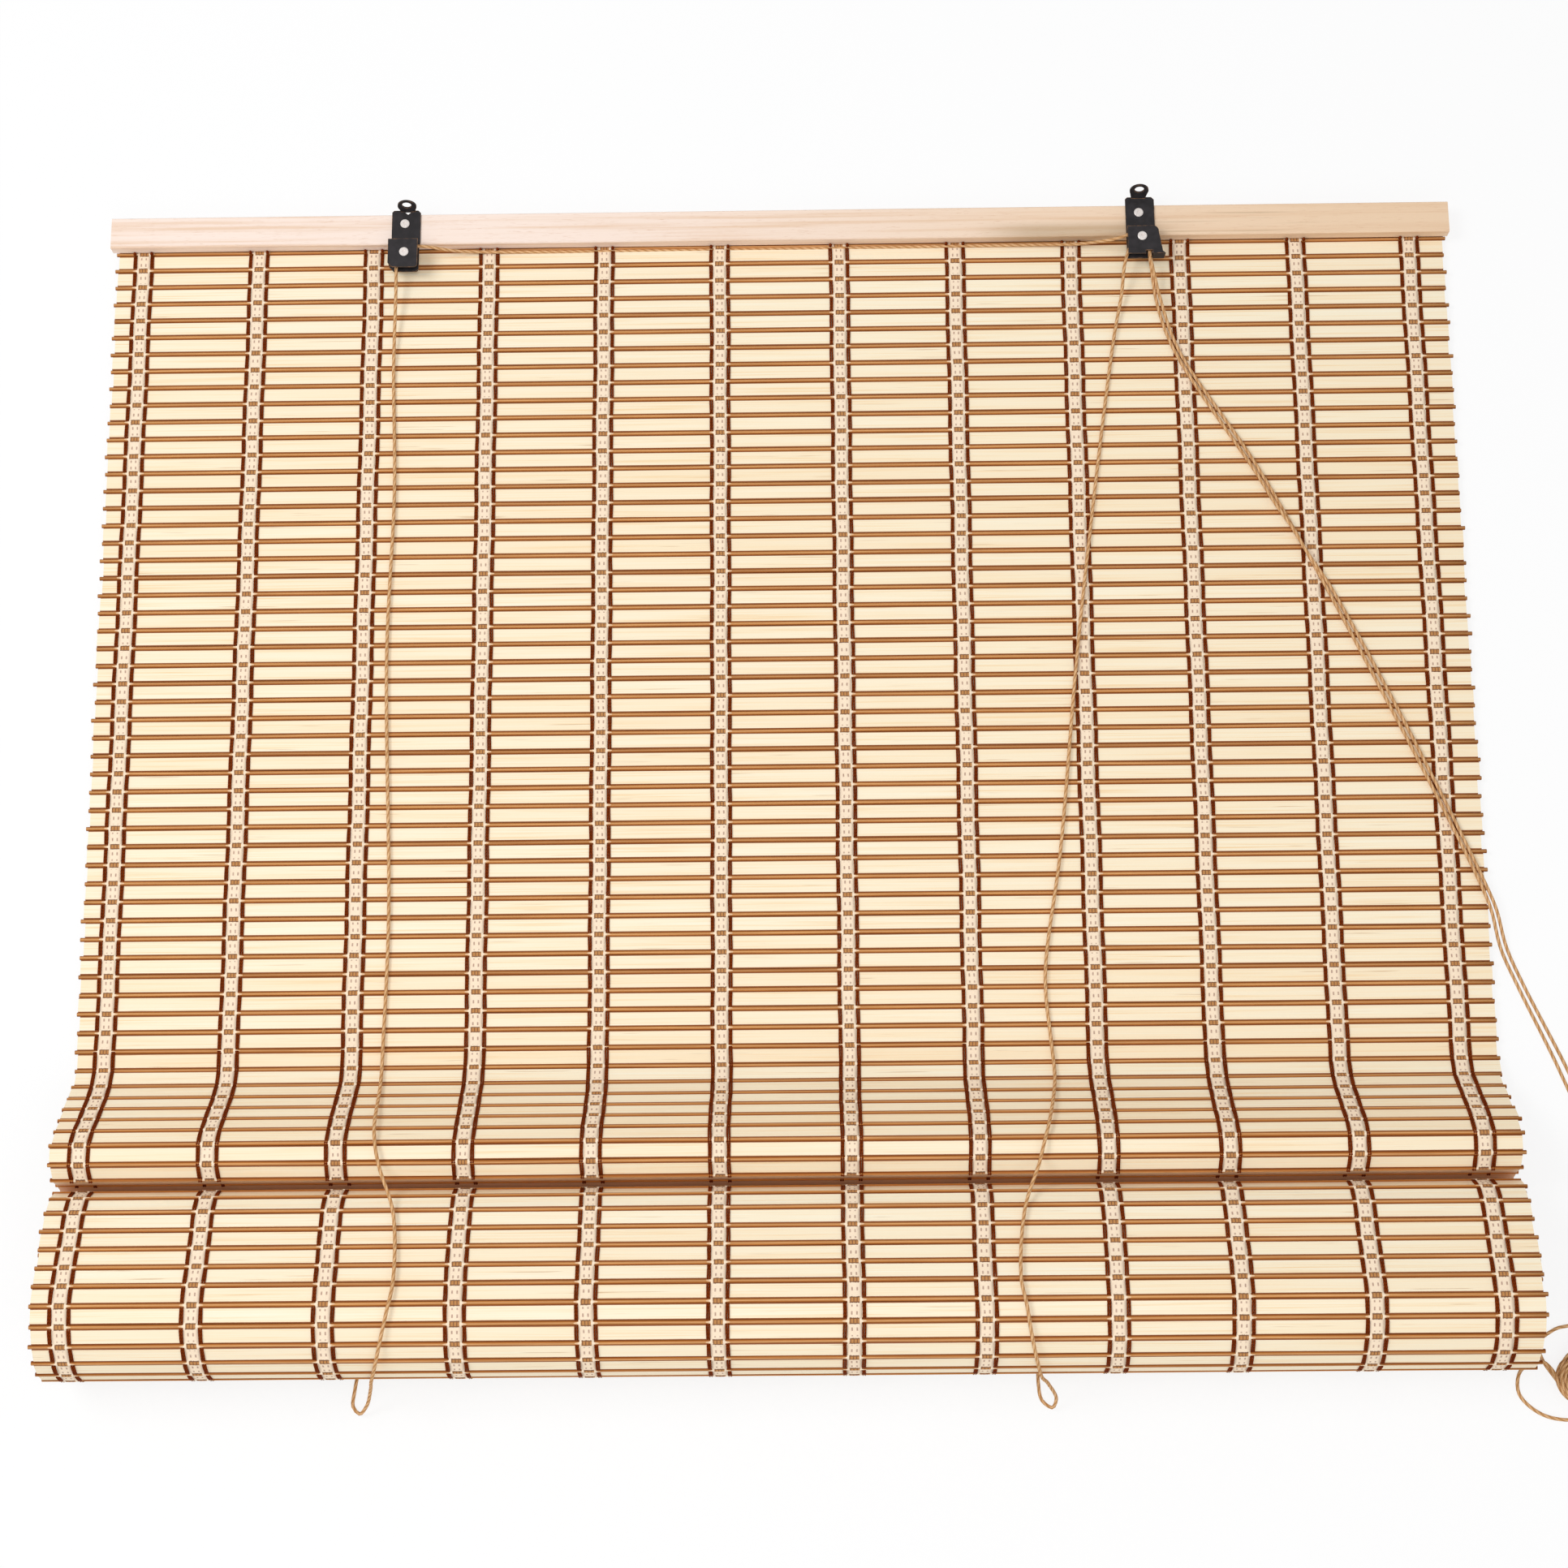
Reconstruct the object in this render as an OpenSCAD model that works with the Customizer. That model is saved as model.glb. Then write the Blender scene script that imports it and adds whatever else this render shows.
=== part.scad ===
/* [Mat] */
// Width of the mat across the slats
mat_w = 996; // [600:2:1400]
// Distance from one reed to the next along the drop
pitch = 13.4; // [12.6:0.1:14.4]
// Number of reeds from the head rail to the mat's end
reeds = 120; // [112:1:126]
// Diameter of a round reed
reed_d = 3.0; // [2.4:0.1:3.2]
// Thickness of a split bamboo slat
slat_t = 1.8; // [1.2:0.1:2.2]
// Gap between a reed and the slat beside it
reed_gap = 0.6; // [0.5:0.05:0.9]
// Thickness that ties reed and slat together
web_t = 0.8; // [0.5:0.1:1]
// Solid edge left outside the gaps
edge_w = 6; // [4:1:12]
// How far a reed stands past the slats at each side
reed_over = 1.5; // [0.5:0.1:3]

/* [Woven bands] */
// Number of woven warp bands
bands = 12; // [8:1:16]
// Distance from the mat's side edge to the middle of the first band
band_inset = 19.5; // [16:0.5:40]
// Width of a band with its two edge cords
band_w = 15; // [10:1:18]
// Thickness of the brown cords along a band's edges
band_t = 0.5; // [0.4:0.1:0.8]
// Width of the brown cords along one edge
edge_cord_w = 1.9; // [1.2:0.1:2.4]
// Thickness of the pale tape between the edge cords
tape_t = 0.3; // [0.2:0.05:0.35]
// Slack between a band and the reeds
band_gap = 0.2; // [0.1:0.05:0.3]

/* [Hump and roll] */
// Flat length below the first visible reed
flat_len = 611; // [560:1:620]
// Radius where the mat lifts off the table
lift_r = 30; // [24:1:36]
// Radius over the crest of the hump
crest_r = 18; // [15:1:20]
// Height of the crest's mid line above the flat mat
crest_h = 55.5; // [50:0.5:58]
// Distance from the end of the flat to the crest
crest_run = 69; // [64:0.5:74]
// Radius of the roll's fat front side
front_r = 41.75; // [40:0.25:44]
// Radius of the roll's slim rear side
rear_r = 34.5; // [32:0.5:36]
// Distance between the roll's front and rear centres
roll_span = 54.25; // [48:0.25:60]
// Distance from one turn to the next
turn_gap = 6.5; // [6:0.1:7.2]

/* [Head rail] */
// How far the head rail stands past the mat at each end
rail_over = 2; // [0:0.5:10]
// Width of the rail's face
rail_w = 24; // [22:0.5:30]
// Thickness of the rail
rail_t = 10; // [9:0.5:16]
// Rail edge above the first visible reed
rail_y = 0.5; // [0.3:0.1:0.8]
// Chamfer along the rail's edges
rail_ch = 0.8; // [0.3:0.1:1.5]

/* [Brackets] */
// Thickness of the bracket steel
plate_t = 1.2; // [1:0.1:1.4]
// Distance from the middle to the pulley bracket's axle
pulley_x = 278.3; // [270:0.1:286]
// Distance from the middle to the cord lock's axle
lock_x = 270.2; // [262:0.1:276]
// Pulley axle below the first visible reed
pulley_y = 9.8; // [9:0.1:12]
// Lock axle below the first visible reed
lock_y = 4.6; // [4.2:0.1:7]
// Pulley axle to the screw in the rail
pulley_reach = 26.3; // [22:0.1:28]
// Lock axle to the screw in the rail
lock_reach = 22.6; // [20:0.1:24]
// Width of a bracket's back plate
plate_w = 21.5; // [20:0.1:23]
// Diameter of the hole in a hanging eye
eye_d = 7; // [5:0.5:8]
// Width of a hanging eye
eye_w = 14; // [13:0.5:16]
// Tilt of the lock's eye out of the plate
lock_eye_tilt = 78; // [45:1:90]
// Tilt of the pulley bracket's eye out of the plate
pulley_eye_tilt = 80; // [45:1:85]
// Room between the plates for the wheel
housing_h = 7.3; // [7.2:0.1:9]

/* [Wheels and fasteners] */
// Outer diameter of a cord wheel
wheel_d = 14.8; // [14:0.1:15.2]
// Width of a cord wheel
wheel_w = 6.6; // [6.2:0.1:6.7]
// Radius of the cord's mid line on the wheel
groove_r = 6.4; // [6:0.1:6.6]
// Diameter of a wheel's axle
axle_d = 3.6; // [3:0.1:4]
// Running clearance of a wheel on its axle
axle_gap = 0.08; // [0.05:0.01:0.1]
// Diameter of an axle's or screw's head
head_d = 6.8; // [6:0.1:7.5]
// Height of an axle's or screw's head
head_h = 1; // [0.6:0.1:1.4]
// Diameter of the screws in the rail
screw_d = 3; // [2.5:0.1:3.5]
// Depth of the screws in the rail
screw_depth = 7; // [5:0.5:8]
// Diameter of the locking roller
roller_d = 5.4; // [5:0.1:5.6]
// Number of flutes around the locking roller
roller_flutes = 12; // [8:1:16]
// Diameter of a staple's wire
wire_d = 0.7; // [0.5:0.05:0.7]
// Number of staples along the rail
staples = 6; // [4:1:8]
// Depth of the staples and tacks in the rail
nail_depth = 5; // [3:0.5:7]
// Diameter of a cord tack's head
tack_d = 5.6; // [4:0.2:5.6]

/* [Cords] */
// Diameter of the lift cords
cord_d = 2.4; // [2:0.1:2.5]
// Radius of the stored coil at the middle of its turns
coil_r = 14; // [12:0.5:16]
// Width of the coil's bundle
coil_w = 10.5; // [8:0.5:12]
// Height of the coil's bundle
coil_h = 11; // [8:0.5:12]
// Diameter of the knot at the cords' end
knot_d = 6; // [5:0.5:7]

/* [Hidden] */
$fn = 48;
fit_gap = 0.1;
seat_gap = 0.3;
cut = 0.01;
cord_r = cord_d / 2;
rail_l = mat_w + 2 * rail_over;
band_pitch = (mat_w - 2 * band_inset) / (bands - 1);
// Bands sit a little off their even pitch, as woven
band_shift = [1.2, 1.3, 0.8, 0.3, -0.2, -0.6, 1.8, 1.5, 1.1, -4.4, -4.8, -7.2];
// Heights above the table, from the cords under the mat upwards
band_h = reed_d / 2 + band_gap + band_t;
mat_z = cord_d + fit_gap + band_h;
rail_z = mat_z + band_h;
face_z = rail_z + rail_t;
plate_z = face_z + plate_t;
front_z = plate_z + housing_h;
top_z = front_z + plate_t;
wheel_z = plate_z + (housing_h - wheel_w) / 2;
cord_z = wheel_z + wheel_w / 2;
// The frame's origin lies under the middle of the part
eye_rise = 1.6;
eye_neck = 9.8;
lock_top = lock_reach + 12.4;
back_y = lock_top - lock_y + (eye_neck + eye_w / 2) * cos(lock_eye_tilt);
loop_y = -853.7;
mid_y = (back_y + loop_y) / 2;
// Mid line of the mat as a belt round circles: [centre, radius], a right turn is positive
lift_c = [-flat_len, mat_z + lift_r];
crest_c = [-flat_len - crest_run, mat_z + crest_h - crest_r];
dive_y = crest_c[0] - crest_r;
rear_c = [dive_y - rear_r, mat_z + rear_r];
front_c = [rear_c[0] - roll_span, mat_z + front_r];
half_turns = 10;
belt = concat([[lift_c, lift_r], [crest_c, -crest_r]],
    [for (k = [0:half_turns - 1]) k % 2 == 0
        ? [rear_c, rear_r - turn_gap * k / 2] : [front_c, front_r - turn_gap * (k - 1) / 2]]);
function side(a) = [sin(a), -cos(a)];
function wrap(a) = a - 360 * floor(a / 360);
function heading(b, c) = let (d = c[0] - b[0]) atan2(d[1], d[0]) + asin((c[1] - b[1]) / norm(d));
function turned(was, raw, r) = r > 0 ? was - wrap(was - raw) : was + wrap(raw - was);
function headings(i, was) = i >= len(belt) ? []
    : let (a = turned(was, heading(belt[i - 1], belt[i]), belt[i - 1][1])) concat([a], headings(i + 1, a));
turns = concat([180], headings(1, 180));
function on_belt(i, a) = belt[i][0] - belt[i][1] * side(a);
// Runs of the mid line: [length, start, heading, radius], radius 0 is straight
top_y = pitch;
runs = concat([[top_y + flat_len, [top_y, mat_z], 180, 0]],
    [for (i = [0:len(belt) - 2]) each [
        [abs(belt[i][1] * (turns[i + 1] - turns[i])) * PI / 180, on_belt(i, turns[i]), turns[i], belt[i][1]],
        [norm(on_belt(i + 1, turns[i + 1]) - on_belt(i, turns[i + 1])), on_belt(i, turns[i + 1]),
            turns[i + 1], 0]]]);
function placed(s, i = 0) = i == len(runs) - 1 || s <= runs[i][0] ? on_run(runs[i], s)
    : placed(s - runs[i][0], i + 1);
function on_run(r, s) = r[3] == 0 ? [r[1] + s * [cos(r[2]), sin(r[2])], r[2]]
    : let (a = r[2] - s / r[3] * 180 / PI) [r[1] + r[3] * (side(r[2]) - side(a)), a];
spots = [for (i = [0:reeds - 1]) placed(i * pitch)];
// Reeds up to the split lie flat, reeds up to the crease show their front
split = floor((top_y + flat_len) / pitch);
crease = floor((top_y + flat_len + runs[1][0] + runs[2][0] + runs[3][0]) / pitch);
outer_turn = floor((top_y + flat_len + runs[1][0] + runs[2][0] + runs[3][0] + runs[4][0] + runs[5][0]
    + runs[6][0] + runs[7][0] + runs[8][0] + runs[9][0] / 2) / pitch);
function slat_dir(i) = let (d = spots[i + 1][0] - spots[i][0]) d / norm(d);
function off(p, d, t, h) = p + t * d + h * [d[1], -d[0]];
function along(a) = [cos(a), sin(a)];
function reed_pts(i, f) = [for (q = [[-reed_d / 2, web_t / 2], [-reed_d / 6, reed_d / 2],
    [reed_d / 6, reed_d / 2], [reed_d / 2, web_t / 2]]) off(spots[i][0], along(spots[i][1]), q[0], f * q[1])];
function slat_pts(i, f) = [for (t = [reed_d / 2 + reed_gap, norm(spots[i + 1][0] - spots[i][0]) - reed_d / 2
    - reed_gap]) off(spots[i][0], slat_dir(i), t, f * slat_t / 2)];
// A band needs no points inside the flat length
function band_ids(last) = concat([0], [for (i = [split:last]) i]);
function band_pts(last, f, h) = [for (i = band_ids(last)) off(spots[i][0], along(spots[i][1]), 0, f * h)];
// Brackets and their outlines, from the axle
housing_w = 22;
housing_y0 = 12;
housing_y1 = 10.6;
wall_x = 12;
lock_y0 = 13.8;
lock_y1 = 8.2;
ramp_x = 12.4;
ramp_y = 4;
ramp_slope = 0.157;
ramp_a = atan(ramp_slope);
lip_w = 1.8;
notch_x = 2.4;
notch_w = 5.4;
notch_h = 2.5;
roller_y = -lock_y0 + plate_t + seat_gap + roller_d / 2;
roller_x = ramp_x + (ramp_y - roller_y) * ramp_slope - (plate_t + seat_gap + roller_d / 2) / cos(ramp_a);
// Tacks hold the cords' tied ends behind the rail
tack_y = 19.5;
back_x = [-282, 262];
back_end = 16.5;
under_x = [-292, 172];
under_y = -201 - flat_len;
// Routes of the cords over the mat, chosen by hand for this flat length and front radius
drawn_flat = 611;
drawn_front = 41.75;
grown = front_r - drawn_front;
moved = drawn_flat - flat_len;
function from_front(q) = let (d = [q[1] + 786.75, q[2] - mat_z - drawn_front]) d / norm(d);
// The lift cords' points on the roll go with it
function followed(p) = [for (q = p) q[1] > -605 ? q : [q[0], q[1] + moved, q[2]] + (q[1] > -740 ? [0, 0, 0]
    : q[2] > 12 ? grown * [0, from_front(q)[0], from_front(q)[1] + 1] : q[1] < -820 ? [0, -grown, 0] : [0, 0, 0])];
left_route = followed([[-292, -812, 1.2], [-295.5, -836, 1.2], [-296.4, -847, 1.5], [-291.5, -852, 4],
    [-285.5, -847, 12], [-279.5, -836, 34], [-275.5, -832, 58], [-270.5, -822.5, 76.5], [-265.5, -806, 88.6],
    [-261, -787, 92.9], [-258, -768.5, 89], [-262, -721, 70], [-272.5, -692, 64.4], [-275.5, -679, 65.2],
    [-278, -664, 57.8], [-281, -631.5, 18.6], [-281.5, -620, 10.6], [-281.3, -600, 8.2],
    [-279.7, -510, 8.2], [-286, -315, 8.2], [-283.5, -190, 8.2], [-286.5, -95, 8.2], [-285, -36, 16.8],
    [-284.7, -9.8, 21.8]]);
right_route = followed([[172, -812, 1.2], [171, -836, 1.2], [173, -846.5, 1.5], [179.5, -851.5, 4], [182, -846, 12],
    [175, -836, 34], [169, -832, 58], [165, -822.5, 76.5], [161, -806, 88.6], [158, -787, 92.9],
    [155, -768.5, 89], [160.5, -721, 70], [171, -692, 64.4], [174.5, -679, 65.2], [179, -664, 57.8],
    [187, -631.5, 18.6], [187.5, -620, 10.6], [186, -600, 8.2], [183.5, -555, 8.2], [197, -465, 8.2],
    [216, -300, 8.2], [248, -80, 8.2], [255, -44, 12], [257.2, -24, 19.6],
    [261, -12, 20.5]]);
transfer_route = [[-284.7, -9.8, 21.8], [-282.8, -5.3, 21.8], [-278.3, -3.4, 21.8], [-262, -3.6, 21],
    [-243, -3.6, 13.5], [-222, -2.6, 8.4], [200, -2.4, 8.2], [225, -3.4, 11], [250, -4.6, 21.4],
    [259, -2.4, 23], [264.6, 0.6, 23], [270.2, 1.8, 23], [274.7, -0.1, 23], [276.6, -4.6, 23],
    [275.8, -12, 22.9], [275.9, -19, 22.5], [284, -52, 13.4]];
pull_left_route = [[284, -52, 13.4], [296, -88, 8.4], [352, -184, 8.2], [436, -362, 8.2], [494, -497, 8.2],
    [499, -513, 7.9], [505, -539, 2.6], [516, -567, 1.2], [541, -627, 1.2], [550, -655, 1.2],
    [552, -740, 1.2], [541, -796, 1.2], [524, -802, 1.2], [512.5, -811, 1.2], [514, -821.5, 1.2],
    [522.5, -828.5, 1.2]];
pull_right_route = [[261, -12, 20.5], [263.4, -7.6, 20.5], [264.5, -1.6, 20.5], [267.3, 1.1, 20.5],
    [270.2, 1.8, 20.5], [274.7, -0.1, 20.5], [276.6, -4.6, 20.5], [275.8, -12, 20.3], [275.9, -19, 19.8], [281.4, -53.5, 10.8], [293.4, -89.5, 8.2],
    [349.4, -185.5, 8.2], [360, -207, 10.4], [373, -229, 11.4], [384, -250, 11], [397, -270, 8.4],
    [440, -361, 8.2], [497, -496, 8.2], [502.5, -512, 7.9], [509, -538, 2.6], [520, -566, 1.2], [546, -625, 1.2],
    [557, -655, 1.2], [561, -740, 1.2], [568, -830, 1.2], [548, -859, 1.2], [515, -860, 1.2],
    [497, -845, 1.2], [499, -829.5, 1.2], [513, -823.5, 3.9], [521, -831, 3.9]];
coil_at = [541, -834];
knot_a = 45;

module placed_mat() translate([0, -mid_y, 0]) children();
module slab(w) rotate([90, 0, 90]) translate([0, 0, -w / 2]) linear_extrude(w) children();

// A stretch of mat: every reed is a ridge, every slat a flat strip between two reeds
module mat_stretch(first, last, ends_on_slat) {
    slats = ends_on_slat ? last : last - 1;
    front = [for (i = [first:last]) each concat(reed_pts(i, 1), i <= slats ? slat_pts(i, 1) : [])];
    back = [for (i = [first:last]) each concat(reed_pts(i, -1), i <= slats ? slat_pts(i, -1) : [])];
    seam = ends_on_slat ? [for (f = [1, -1]) reed_pts(last + 1, f)[0]] : [];
    slab(mat_w) polygon(concat(front, seam, [for (i = [len(back) - 1:-1:0]) back[i]]));
}
// Open slots along both sides of a reed
module mat_gaps(first, last) {
    for (i = [first:last], after = [0, 1])
        if (after == 1 || i > first)
            translate([0, spots[i][0][0], spots[i][0][1]]) rotate([spots[i][1], 0, 0])
                translate([edge_w - mat_w / 2, after * (reed_d + reed_gap) - reed_d / 2 - reed_gap * 0.9, -reed_d])
                    cube([mat_w - 2 * edge_w, reed_gap * 0.8, 2 * reed_d]);
}
// The slats end a little short of the reeds
module slat_ends(first, last) {
    for (i = [first:last])
        let (d = spots[i + 1][0] - spots[i][0])
            translate([0, spots[i][0][0], spots[i][0][1]]) rotate([atan2(d[1], d[0]), 0, 0])
                for (x = [-mat_w / 2 - 1, mat_w / 2 - reed_over])
                    translate([x, reed_d / 2, -reed_d]) cube([reed_over + 1, norm(d) - reed_d, 2 * reed_d]);
}
module staple_holes() {
    for (k = [1:staples])
        translate([staple_x(k), pitch / 2, mat_z - reed_d]) cylinder(d = wire_d, h = 2 * reed_d);
}
function staple_x(k) = (k - (staples + 1) / 2) * 2 * band_pitch;

function band_x(k) = (k - (bands + 1) / 2) * band_pitch + band_shift[(k - 1) % len(band_shift)];

module mat_flat() color("#F2DDB8") placed_mat() difference() {
    mat_stretch(0, split - 1, true);
    mat_gaps(0, split - 1);
    slat_ends(0, split - 1);
    staple_holes();
}
module mat_roll() color("#F2DDB8") placed_mat() difference() {
    mat_stretch(split, reeds - 1, false);
    mat_gaps(split, crease);
    slat_ends(split, reeds - 2);
}
// A band runs down the front to the crease and down the back round the outer turn
module warp_strips(w, t) {
    lo = reed_d / 2 + band_gap;
    slab(w) polygon(concat(band_pts(crease, 1, lo), ring(band_pts(crease, 1, lo + t))));
    slab(w) polygon(concat(band_pts(outer_turn, -1, lo), ring(band_pts(outer_turn, -1, lo + t))));
}
module at_band(k) placed_mat() translate([band_x(k), 0, 0]) children();
module woven_band(k) color("#E9D6C2") at_band(k) warp_strips(band_w - 2 * edge_cord_w, tape_t);
module warp_cords(k) color("#6B2E10") at_band(k) for (side = [-1, 1])
    translate([side * (band_w - edge_cord_w) / 2, 0, 0]) warp_strips(edge_cord_w, band_t);
function ring(p) = [for (i = [len(p) - 1:-1:0]) p[i]];

module head_rail() color("#EBCFB0") placed_mat() difference() {
    slab(rail_l) translate([rail_y, rail_z]) polygon([[rail_ch, 0], [rail_w - rail_ch, 0], [rail_w, rail_ch],
        [rail_w, rail_t - rail_ch], [rail_w - rail_ch, rail_t], [rail_ch, rail_t], [0, rail_t - rail_ch],
        [0, rail_ch]]);
    for (p = [[-pulley_x, pulley_reach - pulley_y], [lock_x, lock_reach - lock_y]])
        translate([p[0] + screw_shift, p[1], face_z - screw_depth]) cylinder(d = screw_d, h = screw_depth + 1);
    for (x = back_x) translate([x, tack_y, rail_z - 1]) cylinder(d = tack_shank, h = nail_depth + 1);
    for (k = [1:staples], y = [pitch / 2, staple_y])
        translate([staple_x(k), y, rail_z - 1]) cylinder(d = wire_d, h = nail_depth + 1);
}
staple_y = pitch + reed_d / 2 + wire_d;
tack_shank = 1.8;
module rail_staples() color("#B8BABD") placed_mat() for (k = [1:staples]) translate([staple_x(k), 0, 0]) {
    crown_z = mat_z - reed_d / 2 - fit_gap - wire_d / 2;
    for (y = [pitch / 2, staple_y])
        translate([0, y, crown_z]) cylinder(d = wire_d, h = rail_z + nail_depth - crown_z);
    translate([0, pitch / 2, crown_z]) rotate([-90, 0, 0]) cylinder(d = wire_d, h = staple_y - pitch / 2);
}
module cord_tacks() color("#B8BABD") placed_mat() for (x = back_x) translate([x, tack_y, 0]) {
    cylinder(d = tack_d, h = 0.8);
    cylinder(d = tack_shank, h = rail_z + nail_depth);
}

// Folded steel: plate on the rail, eye bent out at its top, front plate over the wheel
module plate(z) translate([0, 0, z]) linear_extrude(plate_t) children();
module eye(x, top, tilt, neck) translate([x, top, face_z]) rotate([tilt, 0, 0]) linear_extrude(plate_t)
    difference() {
        union() {
            translate([0, neck]) circle(d = eye_w);
            polygon([[-eye_w * 0.36, -cut], [eye_w * 0.36, -cut], [eye_w / 2, neck],
                [-eye_w / 2, neck]]);
        }
        translate([0, neck + eye_rise]) circle(d = eye_d);
    }

// The lock's plates end on the right in a slanted ramp, rounded off at its top
function arc_pts(c, r, a0, a1, n = 6) = [for (i = [0:n]) c + r * along(a0 + (a1 - a0) * i / n)];
function ramp_at(y) = ramp_x + (ramp_y - y) * ramp_slope;
lock_fillet = 4;
lock_corner = [ramp_at(lock_y1 - lock_fillet) - lock_fillet, lock_y1 - lock_fillet];
lock_left = -10.7;
function lock_edge() = concat([[ramp_at(-lock_y0) + lip_w, -lock_y0], [ramp_at(-lock_y0 + lip_w), -lock_y0 + lip_w]],
    arc_pts(lock_corner, lock_fillet, 0, 90), [[lock_left, lock_y1], [lock_left, -lock_y0]]);
module lock_outline(notched) difference() {
    polygon(lock_edge());
    if (notched) translate([notch_x, -lock_y0 - 1]) square([notch_w, notch_h + 1]);
}
module at_lock() placed_mat() translate([lock_x, -lock_y, 0]) children();
module at_pulley() placed_mat() translate([-pulley_x, -pulley_y, 0]) children();
module back_plate_top(y0, y1, reach) difference() {
    polygon([[-plate_w / 2, y0], [plate_w / 2, y0], [plate_w / 2, y1 - 2], [plate_w / 2 - 2, y1],
        [1.5 - plate_w / 2, y1], [-plate_w / 2, y1 - 1.5]]);
    translate([screw_shift, reach]) circle(d = screw_d);
}
screw_shift = -1;
module lock_bracket() color("#353236") at_lock() difference() {
    union() {
        plate(face_z) lock_outline(false);
        plate(face_z) back_plate_top(lock_y1 - 1, lock_top, lock_reach);
        plate(front_z) lock_outline(true);
        eye(screw_shift, lock_top, lock_eye_tilt, eye_neck);
        translate([0, 0, plate_z - cut]) linear_extrude(housing_h + 2 * cut) {
            polygon(concat([[ramp_at(-lock_y0 + lip_w), -lock_y0 + lip_w]], arc_pts(lock_corner, lock_fillet, 0, 80),
                ring(arc_pts(lock_corner, lock_fillet - plate_t, 0, 80)),
                [[ramp_at(-lock_y0 + lip_w) - plate_t / cos(ramp_a), -lock_y0 + lip_w]]));
            polygon([[notch_x + notch_w, -lock_y0], [ramp_at(-lock_y0) + lip_w, -lock_y0],
                [ramp_at(-lock_y0 + lip_w), -lock_y0 + lip_w], [ramp_at(-lock_y0 + lip_w) - plate_t, -lock_y0 + lip_w],
                [ramp_at(-lock_y0 + lip_w) - plate_t, -lock_y0 + plate_t], [notch_x + notch_w, -lock_y0 + plate_t]]);
        }
    }
    translate([0, 0, face_z - 1]) cylinder(d = axle_d, h = top_z - face_z + 2);
}
module pulley_outline() difference() {
    polygon(concat([[-wall_x, housing_y1], [-wall_x, 3.5 - housing_y0], [3.5 - wall_x, -housing_y0]],
        arc_pts([housing_w - wall_x - 2.5, 2.5 - housing_y0], 2.5, -90, 0), [[housing_w - wall_x, housing_y1]]));
}
pulley_top = 37;
vee_w = 8;
vee_h = 3.4;
module pulley_bracket() color("#353236") at_pulley() difference() {
    union() {
        plate(face_z) pulley_outline();
        plate(face_z) difference() {
            back_plate_top(housing_y1 - 1, pulley_top, pulley_reach);
            translate([eye_shift, pulley_top]) polygon([[-vee_w / 2, 1], [-vee_w / 2, 0], [0, -vee_h],
                [vee_w / 2, 0], [vee_w / 2, 1]]);
        }
        plate(front_z) pulley_outline();
        eye(eye_shift, pulley_top, pulley_eye_tilt, eye_neck * 0.77);
        translate([-wall_x, 4 - housing_y0, plate_z - cut])
            cube([plate_t, housing_y1 + housing_y0 - 4, housing_h + 2 * cut]);
    }
    translate([0, 0, face_z - 1]) cylinder(d = axle_d, h = top_z - face_z + 2);
}
eye_shift = 1.2;

// Wheels turn on their axles, a groove guides the cords
module wheel(groove_w) translate([0, 0, wheel_z]) rotate_extrude() {
    lip = (wheel_w - groove_w) / 2;
    bore_r = axle_d / 2 + axle_gap;
    floor_r = groove_r - cord_r - 0.6;
    polygon([[bore_r, 0], [wheel_d / 2, 0], [wheel_d / 2, lip * 0.6], [floor_r, lip], [floor_r, wheel_w - lip],
        [wheel_d / 2, wheel_w - lip * 0.6], [wheel_d / 2, wheel_w], [bore_r, wheel_w]]);
}
module pulley_wheel() color("#3A3838") at_pulley() wheel(cord_d + 0.6);
module lock_wheel() color("#3A3838") at_lock() wheel(2 * cord_d + 0.5);
module rivet_head() difference() {
    union() {
        cylinder(d = head_d, h = head_h * 0.6);
        translate([0, 0, head_h * 0.6]) cylinder(d1 = head_d, d2 = head_d - 1.2, h = head_h * 0.4);
    }
    translate([0, 0, head_h * 0.4]) cylinder(d = head_d / 3, h = head_h);
}
module axle() {
    translate([0, 0, face_z]) cylinder(d = axle_d, h = top_z - face_z);
    translate([0, 0, top_z]) rivet_head();
    translate([0, 0, face_z - head_h * 0.8]) cylinder(d = head_d - 1, h = head_h * 0.8);
}
module screw(reach) translate([screw_shift, reach, 0]) {
    translate([0, 0, face_z - screw_depth]) cylinder(d = screw_d, h = screw_depth + plate_t);
    translate([0, 0, plate_z]) rivet_head();
}
module pulley_axle() color("#EEE4E0") at_pulley() axle();
module lock_axle() color("#EEE4E0") at_lock() axle();
module pulley_screw() color("#EEE4E0") at_pulley() screw(pulley_reach);
module lock_screw() color("#EEE4E0") at_lock() screw(lock_reach);
module lock_roller() color("#A9A8A6") at_lock() translate([roller_x, roller_y, wheel_z]) difference() {
    cylinder(d = roller_d, h = wheel_w);
    for (a = [0:360 / roller_flutes:359])
        rotate([0, 0, a]) translate([roller_d / 2, 0, -1]) cylinder(r = 0.3, h = wheel_w + 2);
}

// Cords: an eight-sided tube swept along a route
function unit(v) = v / norm(v);
function lead(p, i, first, last) = i == 0 && !is_undef(first) ? first
    : i == len(p) - 1 && !is_undef(last) ? last : unit(p[min(i + 1, len(p) - 1)] - p[max(i - 1, 0)]);
function cord_ring(c, t, up) = let (a = unit(cross(up, t)), b = cross(t, a))
    [for (k = [0:7]) c + cord_r * (cos(45 * k) * a + sin(45 * k) * b)];
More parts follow.
